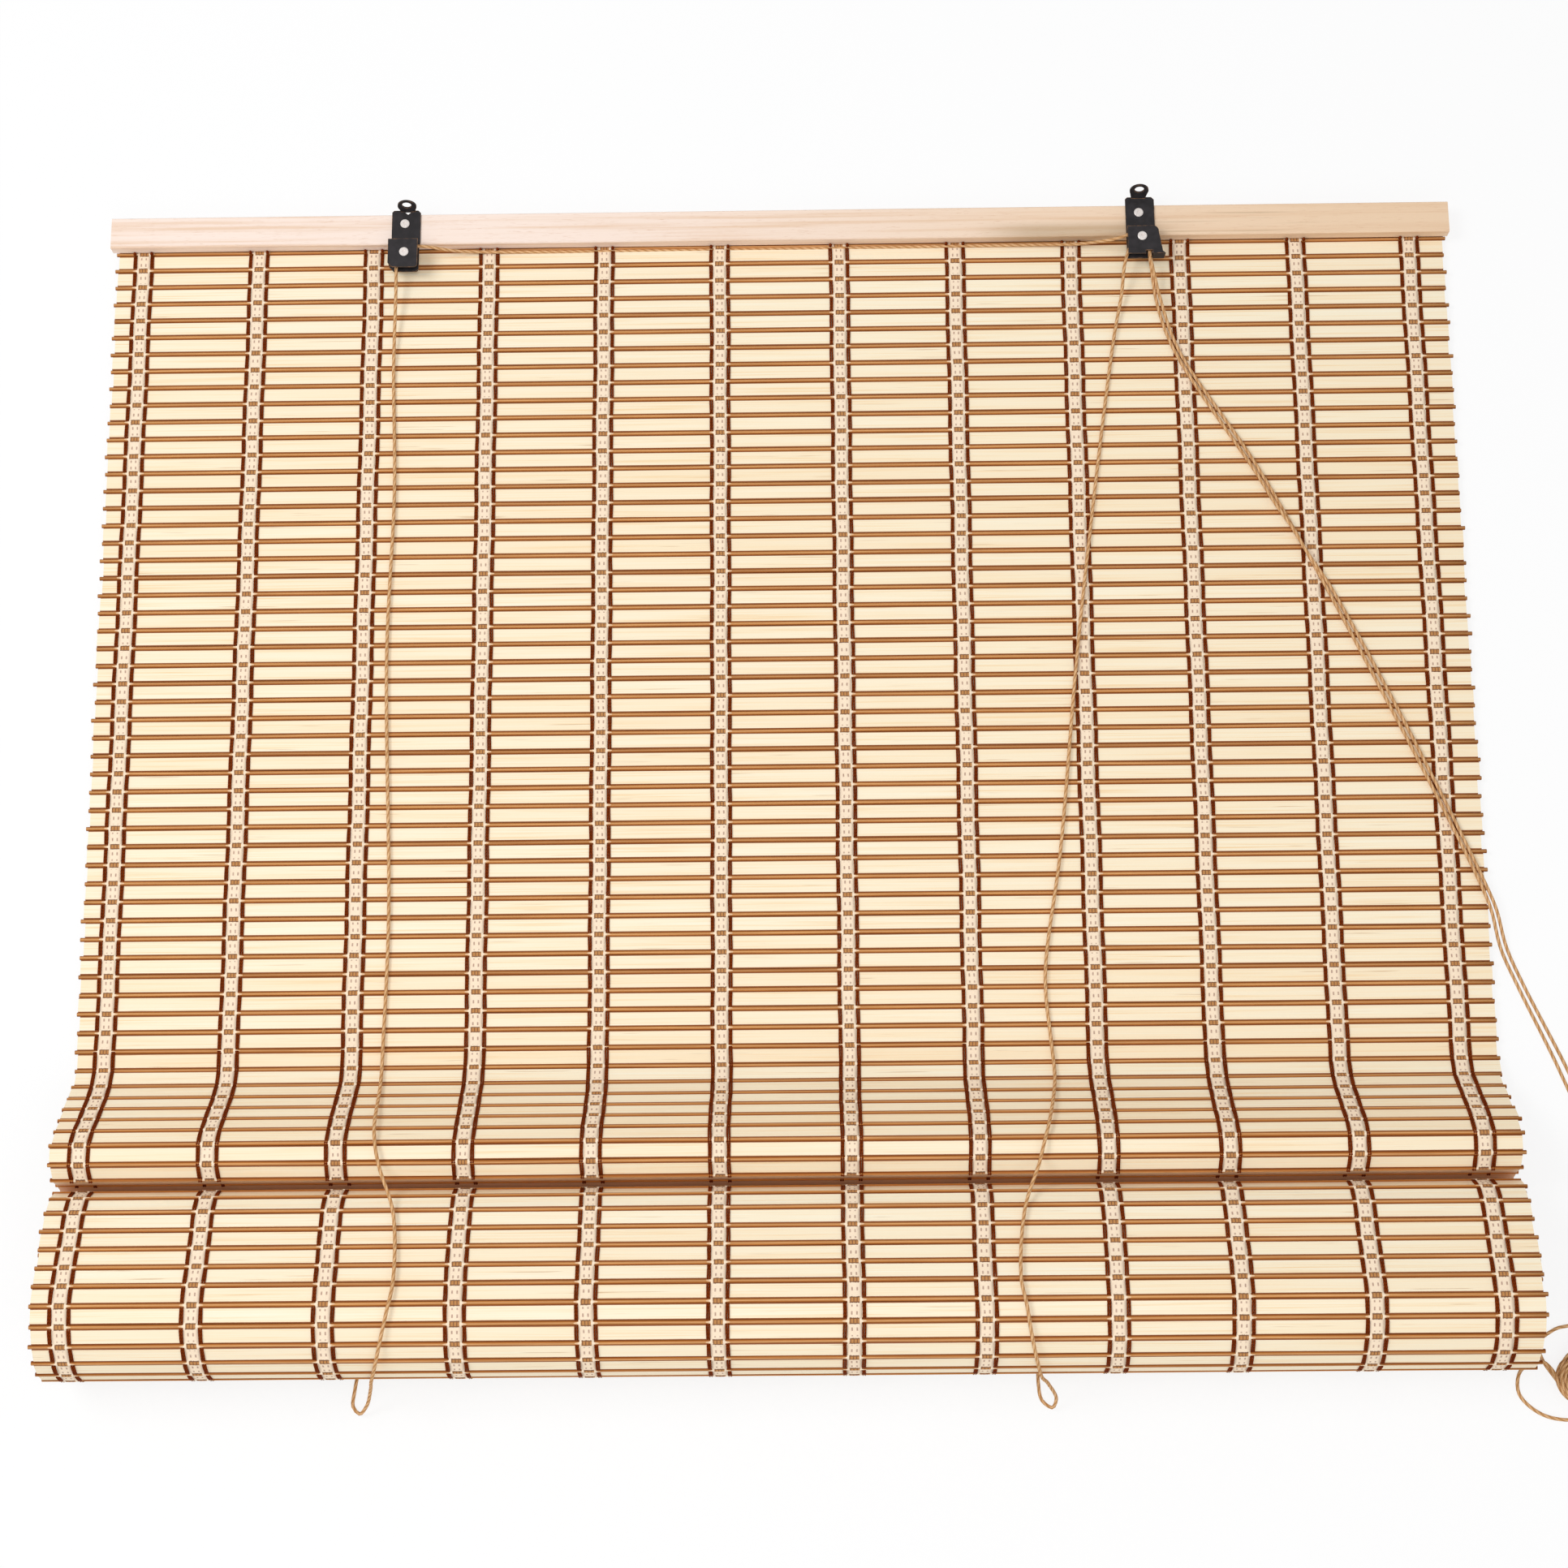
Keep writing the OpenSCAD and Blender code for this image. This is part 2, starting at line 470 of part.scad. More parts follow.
// Two stretches of one cord share their end's direction, so their faces meet
function across(p, q) = unit(q[1] - p[len(p) - 2]);
function behind(i) = unit([under_x[i] - back_x[i], under_y - back_end, 0]);
module cord_tube(p, up, first = undef, last = undef) color("#DDB487") placed_mat() {
    n = len(p);
    polyhedron([for (i = [0:n - 1]) each cord_ring(p[i], lead(p, i, first, last), up)],
        concat([[7, 6, 5, 4, 3, 2, 1, 0]],
        [for (i = [0:n - 2], k = [0:7]) each let (a = 8 * i + k, b = 8 * i + (k + 1) % 8)
            [[a, b, b + 8], [a, b + 8, a + 8]]], [[for (k = [0:7]) 8 * (n - 1) + k]]));
}
module cord_behind(i) color("#DDB487") placed_mat() {
    run = [back_x[i] - under_x[i], back_end - under_y];
    translate([under_x[i], under_y, cord_r]) rotate([0, 0, -atan2(run[0], run[1])])
        rotate([-90, 0, 0]) cylinder(d = cord_d, h = norm(run));
    translate([back_x[i], tack_y, 0.9]) difference() {
        cylinder(r = tack_shank / 2 + cord_d + fit_gap, h = cord_d);
        translate([0, 0, -1]) cylinder(d = tack_shank + 2 * fit_gap, h = cord_d + 2);
    }
}
module left_cord_behind() cord_behind(0);
module right_cord_behind() cord_behind(1);
at_pulley_dir = across(left_route, transfer_route);
at_lock_dir = across(right_route, pull_right_route);
at_pull_dir = across(transfer_route, pull_left_route);
module left_lift_cord() cord_tube(left_route, [1, 0, 0], behind(0), at_pulley_dir);
module right_lift_cord() cord_tube(right_route, [1, 0, 0], behind(1), at_lock_dir);
module transfer_cord() cord_tube(transfer_route, [0, 0, 1], at_pulley_dir, at_pull_dir);
module left_pull_cord() cord_tube(pull_left_route, [0, 0, 1], at_pull_dir);
module right_pull_cord() cord_tube(pull_right_route, [0, 0, 1], at_lock_dir);
module cord_coil() color("#DDB487") placed_mat() translate([coil_at[0], coil_at[1], 0]) rotate_extrude()
    translate([coil_r, 0]) polygon([[-coil_w / 2, coil_h * 0.25], [-coil_w / 4, 0], [coil_w / 4, 0],
        [coil_w / 2, coil_h * 0.25], [coil_w / 2, coil_h * 0.75], [coil_w / 4, coil_h],
        [-coil_w / 4, coil_h], [-coil_w / 2, coil_h * 0.75]]);
module cord_knot() color("#DDB487") placed_mat()
    translate([coil_at[0], coil_at[1], 0]) rotate([0, 0, knot_a])
        translate([coil_r + (coil_w + knot_d) / 2 + fit_gap, 0, knot_d / 2]) sphere(d = knot_d);

head_rail();
mat_flat();
mat_roll();
for (i = [1:bands]) woven_band(i);
for (i = [1:bands]) warp_cords(i);
pulley_bracket();
lock_bracket();
pulley_wheel();
lock_wheel();
pulley_axle();
lock_axle();
pulley_screw();
lock_screw();
lock_roller();
rail_staples();
cord_tacks();
left_cord_behind();
right_cord_behind();
left_lift_cord();
right_lift_cord();
transfer_cord();
left_pull_cord();
right_pull_cord();
cord_coil();
cord_knot();
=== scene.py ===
import math
from functools import partial

import bmesh
import bpy
import numpy as np
from mathutils import Matrix, Vector


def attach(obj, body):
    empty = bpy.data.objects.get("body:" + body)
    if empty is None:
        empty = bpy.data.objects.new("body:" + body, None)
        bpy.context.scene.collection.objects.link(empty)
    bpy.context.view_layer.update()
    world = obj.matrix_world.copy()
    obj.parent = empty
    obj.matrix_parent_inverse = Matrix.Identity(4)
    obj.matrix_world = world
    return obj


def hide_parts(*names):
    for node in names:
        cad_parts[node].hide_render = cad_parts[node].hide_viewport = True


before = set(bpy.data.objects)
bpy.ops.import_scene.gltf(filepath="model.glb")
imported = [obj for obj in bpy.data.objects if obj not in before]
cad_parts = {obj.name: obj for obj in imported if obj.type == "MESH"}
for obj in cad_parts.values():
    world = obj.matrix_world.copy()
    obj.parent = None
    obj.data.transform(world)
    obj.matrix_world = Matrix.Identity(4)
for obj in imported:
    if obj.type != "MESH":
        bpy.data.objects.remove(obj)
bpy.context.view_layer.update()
scene = bpy.context.scene
scene.view_settings.view_transform = "Standard"
np.random.seed(7)

# Lengths below are in millimetres from the middle of the rail's first reed, the frame's are in metres
partMiddle = 409.903


def toFrame(points):
    return (np.asarray(points, float) + (0, partMiddle, 0)) / 1000


# Camera, fitted to the rail's corners, the roll's ends and the bands
cameraSet = {
    "lens": 63.42033,
    "at": (0.02312, -0.46279, 1.92876),
    "turn": (0.99314812, 0.1166075, 0.00618073, -0.00461429),
}
camera = bpy.data.objects.new("photoCamera", bpy.data.cameras.new("photoCamera"))
scene.collection.objects.link(camera)
camera.data.sensor_width = 36
camera.data.lens = cameraSet["lens"]
camera.rotation_mode = "QUATERNION"
camera.location = cameraSet["at"]
camera.rotation_quaternion = cameraSet["turn"]
scene.camera = camera
print("camera ready")


# One function turns an sRGB hex colour to linear
def linear(colour):
    parts = [int(colour[k : k + 2], 16) / 255 for k in (1, 3, 5)]
    return tuple(p / 12.92 if p <= 0.04045 else ((p + 0.055) / 1.055) ** 2.4 for p in parts) + (1,)


# Adds a node with its settings and links and gives back its outputs, the first unless out names others.
# Values are for its sockets in order, or a dictionary by name or number, and may be outputs or hex colours.
def addNode(tree, kind, *values, out=0, stops=(), **settings):
    made = tree.nodes.new("ShaderNode" + kind)
    for key, value in settings.items():
        setattr(made, key, value)
    if stops:
        ramp = made.color_ramp.elements
        while len(ramp) > 1:
            ramp.remove(ramp[-1])
        for k, (at, colour) in enumerate(stops):
            stop = ramp.new(at) if k else ramp[0]
            stop.position = at
            stop.color = linear(colour)
    sockets = values[0] if values and isinstance(values[0], dict) else dict(enumerate(values))
    for key, value in sockets.items():
        if isinstance(value, bpy.types.NodeSocket):
            tree.links.new(value, made.inputs[key])
        else:
            made.inputs[key].default_value = linear(value) if isinstance(value, str) else value
    if isinstance(out, tuple):
        return [made.outputs[k] for k in out]
    return made.outputs[out] if made.outputs else made


# Settings that many nodes share
smooth = {"interpolation_type": "SMOOTHSTEP"}
inColour = {"data_type": "RGBA", "out": 2}
times = {"operation": "MULTIPLY"}
absolute = {"operation": "ABSOLUTE"}
zigzag = {"operation": "PINGPONG"}
larger = {"operation": "MAXIMUM"}


def newMaterial(name, build, *values):
    material = bpy.data.materials.new(name)
    material.use_nodes = True
    material.node_tree.nodes.clear()
    add = partial(addNode, material.node_tree)
    add("OutputMaterial", {"Surface": build(add, *values)})
    return material


# A noise pattern, its scale is waves a metre along, across and through: 1100 gives fibres 0.9 mm wide.
# Fibres, pores and grit are several times coarser than the real ones, so that they show in the render.
def waves(add, where, scale, detail):
    scaled = add("VectorMath", where, scale, **times)
    return add("TexNoise", {"Vector": scaled, "Scale": 1.0, "Detail": detail, "Roughness": 0.55})


# Painted shade: the bamboo turns browner down in the crease between hump and roll, places are in metres
creaseShadeSet = {"at": 0.2915, "wide": (0.003, 0.01), "deep": (0.03, 0.058), "share": 0.55, "shadeColour": "#E08A3C"}


def creaseShade(add, colour):
    along, height = add("SeparateXYZ", add("TexCoord", out="Object"), out=(1, 2))
    away = add("Math", add("Math", along, creaseShadeSet["at"], operation="ADD"), **absolute)
    near = add("MapRange", away, *creaseShadeSet["wide"], 1.0, 0.0, **smooth)
    low = add("MapRange", height, *creaseShadeSet["deep"], 1.0, 0.0, **smooth)
    share = add("Math", add("Math", near, low, **times), creaseShadeSet["share"], **times)
    return add("Mix", {0: share, 6: colour, 7: creaseShadeSet["shadeColour"]}, **inColour)


# Split bamboo, scraped and not varnished: a pale cream face with fine long fibres and few marks, and long
# edges painted dark brown as the shade of the gaps beside the reeds
slatFinish = {
    "pale": "#FFF9E4",
    "usual": "#FFF0D2",
    "warm": "#F7D3A0",
    "edge": "#94501C",
    "mark": "#B9803F",
    "fibre": (10, 1100, 700),
    "band": (5, 210, 100),
    "streak": (14, 800, 300),
    "rimShade": (0.0044, 0.0047),
    "toneShare": 0.42,
}


def splitBamboo(add):
    grain = add("Attribute", attribute_name="grain", out="Vector")
    tone = add("Attribute", attribute_name="tone", out="Fac")
    fibre = waves(add, grain, slatFinish["fibre"], 4)
    band = waves(add, grain, slatFinish["band"], 2)
    both = add("Math", fibre, 0.75, add("Math", band, 0.25, **times), operation="MULTIPLY_ADD")
    stops = [(0.28, slatFinish["warm"]), (0.46, slatFinish["usual"]), (0.7, slatFinish["pale"])]
    colour = add("ValToRGB", both, stops=stops)
    share = add("MapRange", tone, 0.0, 1.0, 0.0, slatFinish["toneShare"])
    colour = add("Mix", {0: share, 6: colour, 7: slatFinish["warm"]}, **inColour)
    # Painted shade: the slat's long edges turn dark brown, standing in for the shade in the narrow gaps
    # beside the reeds
    fromMiddle = add("Math", add("SeparateXYZ", grain, out=1), **absolute)
    rimShade = add("MapRange", fromMiddle, *slatFinish["rimShade"], 0.0, 0.95, **smooth)
    colour = add("Mix", {0: rimShade, 6: colour, 7: slatFinish["edge"]}, **inColour)
    # Painted shade down in the crease between hump and roll
    colour = creaseShade(add, colour)
    streak = add("MapRange", waves(add, grain, slatFinish["streak"], 2), 0.68, 0.76, 0.0, 0.5, **smooth)
    colour = add("Mix", {0: streak, 6: colour, 7: slatFinish["mark"]}, **inColour)
    rough = add("MapRange", fibre, 0.3, 0.7, 0.6, 0.42)
    relief = add("Bump", {"Height": fibre, "Distance": 0.00012, "Strength": 0.6})
    sockets = {"Base Color": colour, "Roughness": rough, "Normal": relief}
    return add("BsdfPrincipled", {**sockets, "IOR": 1.5, "Specular IOR Level": 0.25})


# Round reed of stained bamboo with fine long grain: tan on its crown and brown down its sides, painted light
# and shade of its round section and of the gaps beside the slats
reedFinish = {
    "crown": "#EDB578",
    "body": "#CB8340",
    "side": "#84410F",
    "dark": "#7A3A0E",
    "fibre": (16, 2200, 1400),
    "crownLightEnds": (0.0001, 0.0009),
    "sideShadeStarts": (0.0009, 0.00145),
}


def stainedReed(add):
    grain = add("Attribute", attribute_name="grain", out="Vector")
    tone = add("Attribute", attribute_name="tone", out="Fac")
    fibre = waves(add, grain, reedFinish["fibre"], 3)
    fromMiddle = add("Math", add("SeparateXYZ", grain, out=1), **absolute)
    # Painted light and shade: tan on the crown, brown down the sides towards the gaps
    body = add("MapRange", fromMiddle, *reedFinish["crownLightEnds"], 0.0, 1.0, **smooth)
    colour = add("Mix", {0: body, 6: reedFinish["crown"], 7: reedFinish["body"]}, **inColour)
    sideShade = add("MapRange", fromMiddle, *reedFinish["sideShadeStarts"], 0.0, 0.9, **smooth)
    furrow = add("MapRange", fibre, 0.35, 0.7, 0.5, 0.0)
    # The first share is painted shade down the reed's sides, the second its darker grain
    for share in (sideShade, furrow):
        colour = add("Mix", {0: share, 6: colour, 7: reedFinish["side"]}, **inColour)
    darker = add("MapRange", tone, 0.4, 1.0, 0.0, 0.35)
    colour = add("Mix", {0: darker, 6: colour, 7: reedFinish["dark"]}, **inColour)
    # Painted shade down in the crease between hump and roll
    colour = creaseShade(add, colour)
    relief = add("Bump", {"Height": fibre, "Distance": 0.00008, "Strength": 0.6})
    sockets = {"Base Color": colour, "Roughness": 0.55, "Normal": relief}
    return add("BsdfPrincipled", {**sockets, "IOR": 1.5, "Specular IOR Level": 0.15})


# Cotton tape of pale yarn, with a brown stitch over every reed and grey flecks between.
# Its weave attribute counts millimetres across and reeds along, so the lengths here do too.
tapeFinish = {
    "yarn": "#FFEACF",
    "shade": "#EBD3B8",
    "fleck": "#A07868",
    "stitch": "#BE8142",
    "outline": "#6A3710",
    "tongue": "#E0AE78",
    "ply": (1.0, 13.4, 1.0),
    "fleckColumn": 1.7,
    "fleckRows": 2.58,
    "fleckEnds": (3.0, 3.3),
    "stitchEnds": (3.1, 3.6),
    "stitchLong": (0.125, 0.165),
    "loop": 1.1,
    "wobble": 0.9,
    "tongueStarts": (4.8, 6.2),
    "yarns": (1.6, 14.0),
}


def cottonTape(add):
    weave = add("Attribute", attribute_name="weave", out="Vector")
    across, along = add("SeparateXYZ", weave, out=(0, 1))
    nearReed = add("Math", along, 0.5, **zigzag)  # 0 on a reed, 0.5 half way to the next
    fromMiddle = add("Math", across, **absolute)
    ply = waves(add, weave, tapeFinish["ply"], 3)
    # Flecks lie in columns and in rows between the reeds, 1 mm wide, coarser than the real ones to show
    columns = add("Math", across, tapeFinish["fleckColumn"], **zigzag)
    row = add("Math", along, tapeFinish["fleckRows"], -tapeFinish["fleckRows"] / 2, operation="MULTIPLY_ADD")
    fleck = add("MapRange", columns, 0.9, 1.45, 0.0, 1.0, **smooth)
    for share in (
        add("MapRange", add("Math", row, 0.5, **zigzag), 0.14, 0.3, 1.0, 0.0, **smooth),
        add("MapRange", nearReed, 0.2, 0.26, 0.0, 1.0),
        add("MapRange", fromMiddle, *tapeFinish["fleckEnds"], 1.0, 0.0),
        add("MapRange", ply, 0.3, 0.6, 0.55, 0.8, **smooth),
    ):
        fleck = add("Math", fleck, share, **times)
    shade = add("MapRange", ply, 0.3, 0.6, 0.3, 0.0)
    colour = add("Mix", {0: shade, 6: tapeFinish["yarn"], 7: tapeFinish["shade"]}, **inColour)
    colour = add("Mix", {0: fleck, 6: colour, 7: tapeFinish["fleck"]}, **inColour)
    # The tongues that tie each reed at the tape's edges take on the reed's brown
    tongue = add("MapRange", fromMiddle, *tapeFinish["tongueStarts"], 0.0, 0.6, **smooth)
    colour = add("Mix", {0: tongue, 6: colour, 7: tapeFinish["tongue"]}, **inColour)
    # The stitch over the reed is 6.8 mm wide and 4 mm long, in three loops with dark outlines
    wobble = add("Math", ply, tapeFinish["wobble"], -tapeFinish["wobble"] / 2, operation="MULTIPLY_ADD")
    wide = add("Math", fromMiddle, wobble, operation="ADD")
    wide = add("MapRange", wide, *tapeFinish["stitchEnds"], 1.0, 0.0, **smooth)
    long = add("Math", wobble, 0.08, nearReed, operation="MULTIPLY_ADD")
    long = add("MapRange", long, *tapeFinish["stitchLong"], 1.0, 0.0, **smooth)
    stitch = add("Math", wide, long, **times)
    loops = add("Math", across, tapeFinish["loop"] / 2, operation="ADD")
    loops = add("Math", loops, tapeFinish["loop"], **zigzag)
    between = add("MapRange", loops, 0.5, 0.1, 0.0, 0.9, **smooth)
    outline = add("Math", between, add("MapRange", nearReed, 0.07, 0.12, 0.0, 1.0, **smooth), **larger)
    brown = add("Mix", {0: outline, 6: tapeFinish["stitch"], 7: tapeFinish["outline"]}, **inColour)
    colour = add("Mix", {0: add("Math", stitch, 0.93, **times), 6: colour, 7: brown}, **inColour)
    yarns = [
        add("Math", add("Math", place, count, **times), 0.5, **zigzag)
        for place, count in zip((across, along), tapeFinish["yarns"])
    ]
    height = add("Math", add("Math", *yarns, **times), add("Math", stitch, 0.3, **times), operation="ADD")
    relief = add("Bump", {"Height": height, "Distance": 0.0003, "Strength": 0.4})
    sockets = {"Base Color": colour, "Roughness": 0.9, "Normal": relief, "Specular IOR Level": 0.1}
    return add("BsdfPrincipled", sockets)


# Twisted cotton cord: plies run slantwise round it, with painted shade in the furrows between them, and loose
# fibre.
# The lay is the length of one turn of a ply, and depth is how far the furrows go in, in metres.
cordFinish = {
    "edgeCord": {"light": "#8C3A06", "dark": "#501800", "lay": 0.0022, "plies": 2.0, "depth": 0.0002},
    "liftCord": {"light": "#EDC394", "dark": "#B57F49", "lay": 0.0065, "plies": 3.0, "depth": 0.0006},
    "fuzz": (1500, 1500, 1500),
    "patch": (60, 60, 60),
}


def twistedCord(add, values):
    around, along = add("SeparateXYZ", add("UVMap", uv_map="lay"), out=(0, 1))
    around = add("Math", around, values["plies"], **times)
    along = add("Math", along, values["lay"], operation="DIVIDE")
    ply = add("Math", add("Math", around, along, operation="ADD"), 0.5, **zigzag)
    where = add("TexCoord", out="Object")
    fuzz = waves(add, where, cordFinish["fuzz"], 3)
    patch = waves(add, where, cordFinish["patch"], 2)
    colour = values["light"]
    # The first share is painted shade in the furrows between plies, the others loose fuzz and darker patches
    # of fibre
    for share in (
        add("MapRange", ply, 0.05, 0.36, 0.85, 0.0, **smooth),
        add("MapRange", fuzz, 0.4, 0.75, 0.0, 0.5),
        add("MapRange", patch, 0.35, 0.7, 0.0, 0.3),
    ):
        colour = add("Mix", {0: share, 6: colour, 7: values["dark"]}, **inColour)
    height = add("Math", fuzz, 0.3, ply, operation="MULTIPLY_ADD")
    relief = add("Bump", {"Height": height, "Distance": values["depth"], "Strength": 0.8})
    sockets = {"Base Color": colour, "Roughness": 0.9, "Normal": relief, "Specular IOR Level": 0.1}
    return add("BsdfPrincipled", sockets)


# Beech, planed and left raw: pinkish at the left, yellower at the right, with fine short flecks
railFinish = {
    "left": "#FDE9DC",
    "right": "#F4D5B4",
    "grain": "#E6BE98",
    "fleck": "#CE9A72",
    "shade": "#9E8256",
    "figure": (5, 260, 260),
    "pores": (120, 2400, 2400),
    "heart": (6, 420, 420),
    "heartAt": 0.33,
    "edgeShadeAt": 0.225,
    "edgeShadeBand": (0.4155, 0.4245),
}


def rawBeech(add):
    where = add("TexCoord", out="Object")
    along, across = add("SeparateXYZ", where, out=(0, 1))
    figure = waves(add, where, railFinish["figure"], 4)
    pores = waves(add, where, railFinish["pores"], 2)
    yellower = add("MapRange", along, -0.25, 0.45, 0.0, 1.0, **smooth)
    colour = add("Mix", {0: yellower, 6: railFinish["left"], 7: railFinish["right"]}, **inColour)
    figure = add("MapRange", figure, 0.42, 0.72, 0.0, 0.6, **smooth)
    colour = add("Mix", {0: figure, 6: colour, 7: railFinish["grain"]}, **inColour)
    flecks = add("MapRange", pores, 0.6, 0.75, 0.0, 0.45, **smooth)
    colour = add("Mix", {0: flecks, 6: colour, 7: railFinish["fleck"]}, **inColour)
    # A dark heart streak right of the lock
    streak = add("MapRange", waves(add, where, railFinish["heart"], 2), 0.58, 0.7, 0.0, 0.3, **smooth)
    away = add("Math", add("Math", along, railFinish["heartAt"], operation="SUBTRACT"), **absolute)
    heart = add("Math", add("MapRange", away, 0.02, 0.1, 1.0, 0.0, **smooth), streak, **times)
    colour = add("Mix", {0: heart, 6: colour, 7: railFinish["shade"]}, **inColour)
    # Painted shade, olive brown, along the lower edge left of the lock
    low = add("MapRange", across, *railFinish["edgeShadeBand"], 1.0, 0.0, **smooth)
    away = add("Math", add("Math", along, railFinish["edgeShadeAt"], operation="SUBTRACT"), **absolute)
    beside = add("MapRange", away, 0.03, 0.09, 1.0, 0.0, **smooth)
    lowerEdgeShade = add("Math", add("Math", low, beside, **times), 0.45, **times)
    colour = add("Mix", {0: lowerEdgeShade, 6: colour, 7: railFinish["shade"]}, **inColour)
    relief = add("Bump", {"Height": pores, "Distance": 0.00008, "Strength": 0.5})
    return add("BsdfPrincipled", {"Base Color": colour, "Roughness": 0.55, "Normal": relief, "IOR": 1.5})


# Folded sheet steel, blackened: near black with a dull gloss, worn to warm metal along its edges
steelFinish = {
    "black": "#252224",
    "dust": "#3D393C",
    "worn": "#C08A58",
    "cloud": (180, 180, 180),
    "scratch": (2600, 500, 900),
    "wear": 0.0006,
}


def blackenedSteel(add):
    where = add("TexCoord", out="Object")
    cloud = waves(add, where, steelFinish["cloud"], 4)
    scratch = waves(add, where, steelFinish["scratch"], 2)
    dust = add("MapRange", cloud, 0.4, 0.7, 0.0, 0.5)
    colour = add("Mix", {0: dust, 6: steelFinish["black"], 7: steelFinish["dust"]}, **inColour)
    flat = add("NewGeometry", out="Normal")
    rounded = add("Bevel", {"Radius": steelFinish["wear"]}, samples=4)
    same = add("VectorMath", flat, rounded, operation="DOT_PRODUCT", out="Value")
    edge = add("MapRange", same, 0.98, 0.82, 0.0, 1.0)
    worn = add("Math", edge, add("MapRange", cloud, 0.42, 0.62, 0.1, 0.9, **smooth), **times)
    worn = add("Math", worn, add("MapRange", scratch, 0.74, 0.8, 0.0, 0.35, **smooth), **larger)
    colour = add("Mix", {0: worn, 6: colour, 7: steelFinish["worn"]}, **inColour)
    rough = add("MapRange", cloud, 0.35, 0.7, 0.5, 0.7)
    relief = add("Bump", {"Height": cloud, "Distance": 0.00015, "Strength": 0.4})
    sockets = {"Base Color": colour, "Roughness": rough, "Normal": relief, "Specular IOR Level": 0.3}
    return add("BsdfPrincipled", sockets)


# Moulded nylon of the wheels: dark grey, faintly grained by the mould
nylonFinish = {"dark": "#343233", "light": "#4B4849", "grain": (900, 900, 900)}


def mouldedNylon(add):
    cloud = waves(add, add("TexCoord", out="Object"), nylonFinish["grain"], 3)
    lighter = add("MapRange", cloud, 0.35, 0.7, 0.0, 0.6)
    colour = add("Mix", {0: lighter, 6: nylonFinish["dark"], 7: nylonFinish["light"]}, **inColour)
    relief = add("Bump", {"Height": cloud, "Distance": 0.0001, "Strength": 0.4})
    return add("BsdfPrincipled", {"Base Color": colour, "Roughness": 0.45, "Normal": relief, "IOR": 1.53})


# Zinc plated steel of rivets, roller, staples and tacks: bright grey with a dull bloom
zincFinish = {"bright": "#FBF3EE", "bloom": "#D6CCC6", "grit": (1100, 1100, 1100)}


def zincPlate(add):
    bloom = waves(add, add("TexCoord", out="Object"), zincFinish["grit"], 3)
    duller = add("MapRange", bloom, 0.35, 0.7, 0.0, 0.7)
    colour = add("Mix", {0: duller, 6: zincFinish["bright"], 7: zincFinish["bloom"]}, **inColour)
    rough = add("MapRange", bloom, 0.3, 0.7, 0.28, 0.46)
    relief = add("Bump", {"Height": bloom, "Distance": 0.00006, "Strength": 0.5})
    sockets = {"Base Color": colour, "Roughness": rough, "Normal": relief}
    return add("BsdfPrincipled", {**sockets, "Metallic": 0.25})


slatMaterial = newMaterial("splitBamboo", splitBamboo)
reedMaterial = newMaterial("stainedReed", stainedReed)
tapeMaterial = newMaterial("cottonTape", cottonTape)
edgeCordMaterial = newMaterial("edgeCord", twistedCord, cordFinish["edgeCord"])
liftCordMaterial = newMaterial("liftCord", twistedCord, cordFinish["liftCord"])
beechMaterial = newMaterial("rawBeech", rawBeech)
steelMaterial = newMaterial("blackenedSteel", blackenedSteel)
nylonMaterial = newMaterial("mouldedNylon", mouldedNylon)
zincMaterial = newMaterial("zincPlate", zincPlate)
print("materials ready")


# Puts a finished mesh in the scene as a piece of the blind
def newPiece(name, mesh, material, stands):
    piece = bpy.data.objects.new(name, mesh)
    scene.collection.objects.link(piece)
    mesh.materials.append(material)
    mesh.polygons.foreach_set("use_smooth", [True] * len(mesh.polygons))
    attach(piece, "blind")
    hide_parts(*stands)
    return piece


# Tubes: a grid is wrapped round each line, its first and last columns merged and its ends filled
def ringFrames(line, up):
    ahead = np.gradient(line, axis=0)
    ahead /= np.linalg.norm(ahead, axis=1)[:, None]
    if up is not None:
        side = np.cross(np.asarray(up, float), ahead)
        side /= np.linalg.norm(side, axis=1)[:, None]
        return side, np.cross(ahead, side)
    side = np.zeros_like(line)
    last = np.cross(ahead[0], (0.13, 0.21, 0.97))
    for i, way in enumerate(ahead):
        last = last - way * last.dot(way)
        last /= np.linalg.norm(last)
        side[i] = last
    return side, np.cross(ahead, side)


